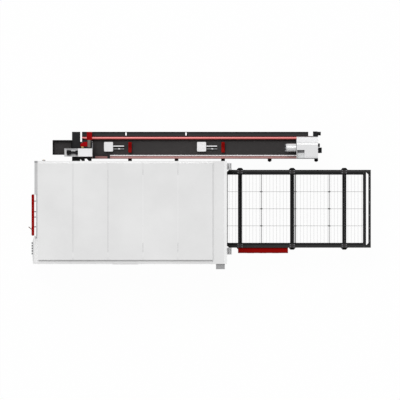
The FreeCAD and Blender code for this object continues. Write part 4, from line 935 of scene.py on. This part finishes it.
def lift_unit_trim():
    """Bellows on one rod of each lift unit, sleeves on the other, and cover screws."""
    low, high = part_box("support_lift_units")
    bellows = Shape()
    screws = Shape()
    sleeves = Shape()
    folds = 20
    pitch = 0.243 / folds
    base, valley, crest = low.z + 0.03, low.z + 0.041, low.z + 0.051
    sleeve = rounded(
        (TUBE_AXIS_Y - 0.0368, base - 0.0003), (TUBE_AXIS_Y - 0.0105, base + 0.0253), 0.004
    )
    for support in SUPPORT_PLACES:
        left = support - 0.38
        outline = [(left, base)]
        for i in range(folds):
            outline.append((left + pitch * i, valley))
            outline.append((left + pitch * (i + 0.5), crest))
        outline.append((left + pitch * folds, valley))
        outline.append((left + pitch * folds, base))
        bellows.prism(outline, "y", TUBE_AXIS_Y - 0.0104, TUBE_AXIS_Y + 0.0225)
        for start, end in ((0.381, 0.262), (0.225, 0.137)):
            sleeves.prism(sleeve, "x", support - start, support - end)
        screws.screw(
            (support - 0.565, support - 0.403), (low.y + 0.02, high.y - 0.02), high.z, UP, 0.007
        )
    bellows.finish("lift_bellows", "rubber")
    sleeves.finish("lift_rod_sleeves", "white_paint", 0.001, look="member_grey")
    screws.finish("lift_unit_screws", "chuck_steel")


def connector(radius, height):
    """Profile of a round cable connector on its flange."""
    neck, nut = radius - 0.003, radius - 0.001
    return [
        (radius, 0), (radius, 0.008), (neck, 0.01), (neck, 0.02), (nut, 0.021),
        (nut, height - 0.002), (0.01, height),
    ]


def front_chuck_trim():
    """Fasteners, motor connectors, rib cover and brass fitting of the front chuck."""
    box_low, box_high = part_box("front_drive_box")
    motor_low, motor_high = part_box("front_chuck_motor")
    housing_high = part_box("front_chuck_housing")[1]
    bracket_low, bracket_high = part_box("rail_end_bracket")
    screws = Shape()
    screws.screw(
        spaced(box_low.x + 0.326, box_high.x - 0.02, 5), (box_low.y + 0.018, box_high.y - 0.018),
        box_high.z, UP, 0.006,
    )
    bolt_circle = [polar(0.142, 36 * i + 18) for i in range(10)]
    for y, z in moved(bolt_circle, TUBE_AXIS_Y, TUBE_AXIS_Z):
        screws.bolt(housing_high.x, y, z, RIGHT, 0.009)
    screws.bolt(
        motor_high.x - 0.06, (motor_low.y + 0.018, motor_high.y - 0.018),
        (motor_low.z + 0.0185, motor_high.z - 0.0175), LEFT, 0.007,
    )
    screws.finish("front_chuck_bolts", "chuck_steel")
    bracket = Shape()
    bracket.bolt(
        (bracket_high.x - 0.087, bracket_high.x - 0.03), bracket_high.y - 0.036,
        bracket_low.z + 0.221, UP, 0.009,
    )
    bracket.bolt(
        (bracket_low.x + 0.022, bracket_high.x - 0.127), bracket_low.y + 0.015, bracket_high.z, UP,
        0.006,
    )
    bracket.finish("bracket_bolts", "red_gloss")
    motor = Shape()
    top = motor_high.z - 0.001
    for y in (motor_low.y + 0.0305, motor_high.y - 0.0295):
        motor.lathe((motor_low.x + 0.024, y, top), UP, connector(0.016, 0.03), 24)
    left = motor_low.x + 0.056
    for i in range(7):
        y = motor_low.y + 0.0145 + 0.0128 * i
        motor.block((left, y - 0.002, top), (left + 0.04, y + 0.002, top + 0.004))
    motor.finish("front_motor_fittings", "motor_black", 0.0008)
    cover = Shape()
    inner = -0.1645
    outline = moved(
        [
            (inner, 0.0001), (-0.0823, 0.0001), (0.0001, -0.0827), (0.0019, -0.0811),
            (-0.0815, 0.0023), (inner, 0.0023),
        ],
        housing_high.y, housing_high.z,
    )
    cover_right = housing_high.x - 0.036
    cover.prism(outline, "x", cover_right - 0.064, cover_right)
    cover.screw(
        (cover_right - 0.056, cover_right - 0.008),
        (housing_high.y - 0.1545, housing_high.y - 0.0925), housing_high.z + 0.0023, UP, 0.004,
    )
    cover.finish("rib_cover", "grey_paint", 0.0006, look="rib_grey")
    brass = Shape()
    elbow = [
        (0.009, 0), (0.009, 0.006), (0.011, 0.007), (0.011, 0.02), (0.008, 0.021),
        (0.008, 0.042), (0.006, 0.044),
    ]
    air_x, air_y = bracket_low.x + 0.054, TUBE_AXIS_Y + 0.014
    brass.cone((air_x, air_y, box_low.z), UP, 0.012, 0.016, 0.016, 6)
    brass.lathe((air_x + 0.008, air_y, box_low.z + 0.0185), LEFT, elbow, 20)
    brass.finish("air_fitting", "chuck_steel", look="brass")


def tray_trims():
    """Rubber edge profile on the outfeed tray, and the buffer on the rear rail's end."""
    low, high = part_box("outfeed_tray")
    trim = Shape()
    outer = rounded((low.x - 0.003, low.y - 0.003), (high.x, high.y + 0.003), 0.008)
    inner = rounded((low.x + 0.019, low.y + 0.019), (high.x - 0.019, high.y - 0.019), 0.006)
    trim.loop(outer, inner, "z", high.z - 0.003, high.z + 0.006)
    trim.finish("outfeed_edge_trim", "rubber", 0.0015)
    low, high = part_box("rear_guide_rail")
    buffer = Shape()
    corners = [(0.006, 0.041), (0.006, 0.003), (0.096, 0.003), (0.088, 0.013), (0.026, 0.041)]
    buffer.prism(moved(corners, low.x, low.y), "z", high.z, high.z + 0.02)
    buffer.finish("rail_end_buffer", "rubber", 0.003)


def rear_chuck_trim():
    """Panels, seal, vent and screws of the rear chuck's box."""
    low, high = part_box("rear_chuck_carriage")
    left, right = low.x, high.x
    front, back = low.y, high.y
    top = high.z
    lid = Shape()
    lid_plate = rounded((left + 0.214, front + 0.05), (right - 0.014, back - 0.191), 0.006)
    lid.prism(lid_plate, "z", top, top + 0.002)
    lid.finish("rear_box_lid", "white_paint", 0.0009, "rear_chuck")
    # slope panel in a whiter paint than the box, painted light for the slope that faces the light
    slope = Shape()
    section = [
        (-0.0985, -0.0205), (-0.1505, 0), (-0.183, 0), (-0.183, 0.002), (-0.15, 0.002),
        (-0.0975, -0.0185),
    ]
    slope.prism(moved(section, back, top), "x", left + 0.002, right - 0.002)
    slope.finish("rear_box_slope_panel", "white_paint", 0.0006, "rear_chuck", look="slope_lit_white")
    screws = Shape()
    screws.screw(
        (left + 0.226, right - 0.026), spaced(front + 0.065, back - 0.204, 4), top + 0.002, UP,
        0.0045,
    )
    screws.screw(
        spaced(left + 0.03, right - 0.03, 5), front, (top - 0.47, top - 0.04), FRONT, 0.006
    )
    screws.screw(
        right, (front + 0.086, front + 0.186, front + 0.316, front + 0.406),
        (top - 0.36, top - 0.05), RIGHT, 0.006,
    )
    screws.finish("rear_box_screws", "chuck_steel", body="rear_chuck")
    recess = top - 0.075
    vent = Shape()
    vent.block(
        (left + 0.015, front + 0.132, recess), (left + 0.177, front + 0.194, recess + 0.003)
    )
    blade = [(0, 0), (0.007, 0), (0.004, 0.01), (0.002, 0.01)]
    for i in range(6):
        section = moved(blade, front + 0.136 + 0.01 * i, recess + 0.003)
        vent.prism(section, "x", left + 0.02, left + 0.172)
    vent.finish("rear_box_vent", "motor_black", body="rear_chuck", look="button_plastic")
    floor = Shape()
    floor_low = (left + 0.0125, front + 0.0175)
    floor_high = (left + 0.1795, front + 0.1305)
    floor.prism(rounded(floor_low, floor_high, 0.004), "z", recess, recess + 0.002)
    floor.screw(
        (left + 0.025, left + 0.167), (front + 0.03, front + 0.118), recess + 0.002, UP, 0.0045
    )
    floor.finish("rear_box_recess_floor", "white_paint", 0.0006, "rear_chuck", look="recess_grey")
    # grey profile along the box's front top edge: painted shade for the front bevel, which faces
    # away from the light
    profile = Shape()
    section = [
        (-0.0005, -0.022), (-0.0005, -0.013), (0.0135, 0.0015), (0.022, 0.0015),
        (0.022, 0), (0.014, 0), (0, -0.014), (0, -0.022),
    ]
    profile.prism(moved(section, front, top), "x", left + 0.001, right - 0.001)
    profile.finish(
        "rear_box_front_profile", "white_paint", body="rear_chuck", look="button_plastic"
    )
    seal = Shape()
    for depth, outer, length in ((0.006, 0.104, 0.006), (0.009, 0.096, 0.003)):
        place = (left - depth, TUBE_AXIS_Y, TUBE_AXIS_Z)
        seal.ring(place, RIGHT, NOSE_RADIUS + 0.0005, outer, length)
    seal.finish("rear_nose_seal", "rubber", 0.0008, "rear_chuck")


def nose_screws():
    """Dark cap screws round the rear nose, near its rim, and in its face."""
    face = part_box("rear_chuck_rotor")[0].x
    shape = Shape()
    for i in range(8):
        out = Vector((0, *polar(1, 45 * i + 22.5)))
        rim = Vector((face + 0.02, TUBE_AXIS_Y, TUBE_AXIS_Z)) + out * (NOSE_RADIUS - 0.0005)
        shape.cone(rim, out, 0.001, 0.0085, 0.0085, 18)
        shape.cone(rim + out * 0.001, out, 0.0006, 0.007, 0.004, 6)
        place = Vector((face - 0.0002, TUBE_AXIS_Y, TUBE_AXIS_Z)) + out * 0.062
        shape.cone(place, LEFT, 0.0015, 0.006, 0.005, 18)
    shape.finish("rear_nose_screws", "jaw_steel", body="rear_spindle")


def rear_motor_trim():
    """Cooling ribs and connectors of the rear chuck's upper motor."""
    low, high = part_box("rear_chuck_motors")
    shape = Shape()
    left, right = high.x - 0.075, high.x - 0.045
    top = high.z - 0.001
    half = 0.0018
    for z in spaced(top - 0.108, top - 0.014, 9):
        for y, side in ((low.y, -1), (low.y + 0.124, 1)):
            face = sorted((y, y + side * 0.003))
            shape.block((left, face[0], z - half), (right, face[1], z + half))
    for y in spaced(low.y + 0.016, low.y + 0.108, 8):
        shape.block((left, y - half, top), (right, y + half, top + 0.0035))
    for y in (low.y + 0.036, low.y + 0.088):
        shape.lathe((high.x - 0.019, y, top), UP, connector(0.015, 0.029), 24)
    shape.finish("rear_motor_fittings", "motor_black", 0.0006, "rear_chuck")


def gantry_trim():
    """Drive motors on the cross beam's ends, and an open cable trough along its top."""
    low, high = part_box("gantry_beam")
    x = high.x - 0.07
    profile = [
        (0.056, 0), (0.056, 0.014), (0.046, 0.02), (0.046, 0.062), (0.042, 0.066),
        (0.042, 0.142), (0.038, 0.15), (0.012, 0.153),
    ]
    motors = Shape()
    bolts = Shape()
    ends = (low.y + 0.075, high.y - 0.075)
    for y in ends:
        motors.lathe((x, y, high.z), UP, profile, 36)
        motors.block((x - 0.08, y - 0.016, high.z + 0.1), (x - 0.04, y + 0.016, high.z + 0.13))
        for bolt in moved([polar(0.051, 60 * i) for i in range(6)], x, y):
            bolts.cone((*bolt, high.z + 0.014), UP, 0.003, 0.0035, 0.003, 10)
    motors.finish("gantry_motors", "motor_black", 0.0008, "gantry")
    trough = Shape()
    left, right = low.x + 0.075, low.x + 0.15
    wall = 0.002
    outline = [
        (left, high.z), (right, high.z), (right, high.z + 0.035), (right - wall, high.z + 0.035),
        (right - wall, high.z + wall), (left + wall, high.z + wall),
        (left + wall, high.z + 0.035), (left, high.z + 0.035),
    ]
    trough.prism(outline, "y", low.y + 0.03, high.y - 0.03)
    trough.finish("gantry_cable_trough", "grey_paint", body="gantry", smooth=False)
    bolts.screw(
        (left + right) / 2, spaced(low.y + 0.06, high.y - 0.06, 9), high.z + wall, UP, 0.005
    )
    bolts.finish("gantry_screws", "chuck_steel", body="gantry")


def head_trim():
    """Knurled rings and the brass nozzle nut of the cutting head."""
    low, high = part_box("cutting_head")
    x = (low.x + high.x) / 2
    y = (low.y + high.y) / 2
    rings = Shape()
    for z in (high.z - 0.05, high.z - 0.11):
        rings.ring((x, y, z), UP, 0.02, 0.034, 0.016, 60)
    rings.finish("collimator_rings", "motor_black", 0.001, "cutting_head")
    nut = Shape()
    nut.ring((x, y, low.z + 0.062), UP, 0.029, 0.035, 0.014, 48)
    nut.ring((x, y, low.z + 0.076), UP, 0.029, 0.0325, 0.004, 48)
    nut.finish("nozzle_nut", "chuck_steel", 0.0008, "cutting_head", look="brass")


tray_rings()
guide_rails()
levelling_feet()
tube_support(1)
tube_support(2)
lift_unit_trim()
front_chuck_trim()
tray_trims()
rear_chuck_trim()
nose_screws()
rear_motor_trim()
gantry_trim()
head_trim()


# ---------- stage, light, camera ----------
def seen_white(tree):
    """1 for the kinds of ray that see the white background, 0 for the light on the object."""
    path = add(tree, "LightPath").outputs
    total = path["Is Camera Ray"]
    for kind in ("Is Glossy Ray", "Is Transmission Ray"):
        total = calculate(tree, "MAXIMUM", total, path[kind])
    return total


def floor_material():
    """Pale floor: white to the camera, with the object's shadow kept faintly."""
    material = bpy.data.materials.new("pale_floor")
    tree = emptied(material)
    mix = add(tree, "MixShader")
    parts = (
        calculate(tree, "MULTIPLY", seen_white(tree), FLOOR_WHITENESS),
        add(tree, "BsdfDiffuse", Color=FLOOR_COLOUR).outputs[0],
        add(tree, "Emission", Strength=PLAIN_WHITE).outputs[0],
    )
    for value, socket in zip(parts, mix.inputs):
        feed(tree, value, socket)
    add(tree, "OutputMaterial", Surface=mix.outputs[0])
    return material


def stage():
    mesh = bpy.data.meshes.new("floor")
    corners = [(-1, -1), (1, -1), (1, 1), (-1, 1)]
    mesh.from_pydata([(FLOOR_HALF * x, FLOOR_HALF * y, 0) for x, y in corners], [], [(0, 1, 2, 3)])
    floor = shown("floor", mesh)
    mesh.materials.append(floor_material())


def world():
    """Studio dome, brighter from the rear left, and white where it is seen or mirrored."""
    world = bpy.data.worlds.new("studio")
    bpy.context.scene.world = world
    tree = emptied(world)
    towards = add(tree, "VectorMath")
    towards.operation = "DOT_PRODUCT"
    feed(tree, add(tree, "TexCoord").outputs["Generated"], towards.inputs[0])
    feed(tree, DOME_SIDE, towards.inputs[1])
    dome = add(
        tree, "MapRange", From_Min=-1.0, To_Min=DOME_LEVEL * (1 - DOME_SWING),
        To_Max=DOME_LEVEL * (1 + DOME_SWING), Value=towards.outputs["Value"],
    )
    level = add(tree, "Mix", Factor=seen_white(tree), A=dome.outputs["Result"], B=PLAIN_WHITE)
    background = add(tree, "Background", Color=(1, 1, 1, 1), Strength=level.outputs["Result"])
    add(tree, "OutputWorld", Surface=background.outputs[0])


def key_light():
    light = bpy.data.lights.new("key_light", "SUN")
    light.energy = KEY_STRENGTH
    light.angle = math.radians(KEY_SPREAD)
    lamp = shown("key_light", light)
    lamp.rotation_euler = Vector(KEY_DIRECTION).to_track_quat("-Z", "Y").to_euler()


def camera():
    data = bpy.data.cameras.new("plan_camera")
    data.type = "ORTHO"
    data.ortho_scale = PHOTO_WIDTH * PIXEL
    data.clip_end = 100
    item = shown("plan_camera", data)
    item.location = (*VIEW_CENTRE, CAMERA_HEIGHT)
    bpy.context.scene.camera = item


stage()
world()
key_light()
camera()
bpy.context.scene.view_settings.view_transform = "Standard"
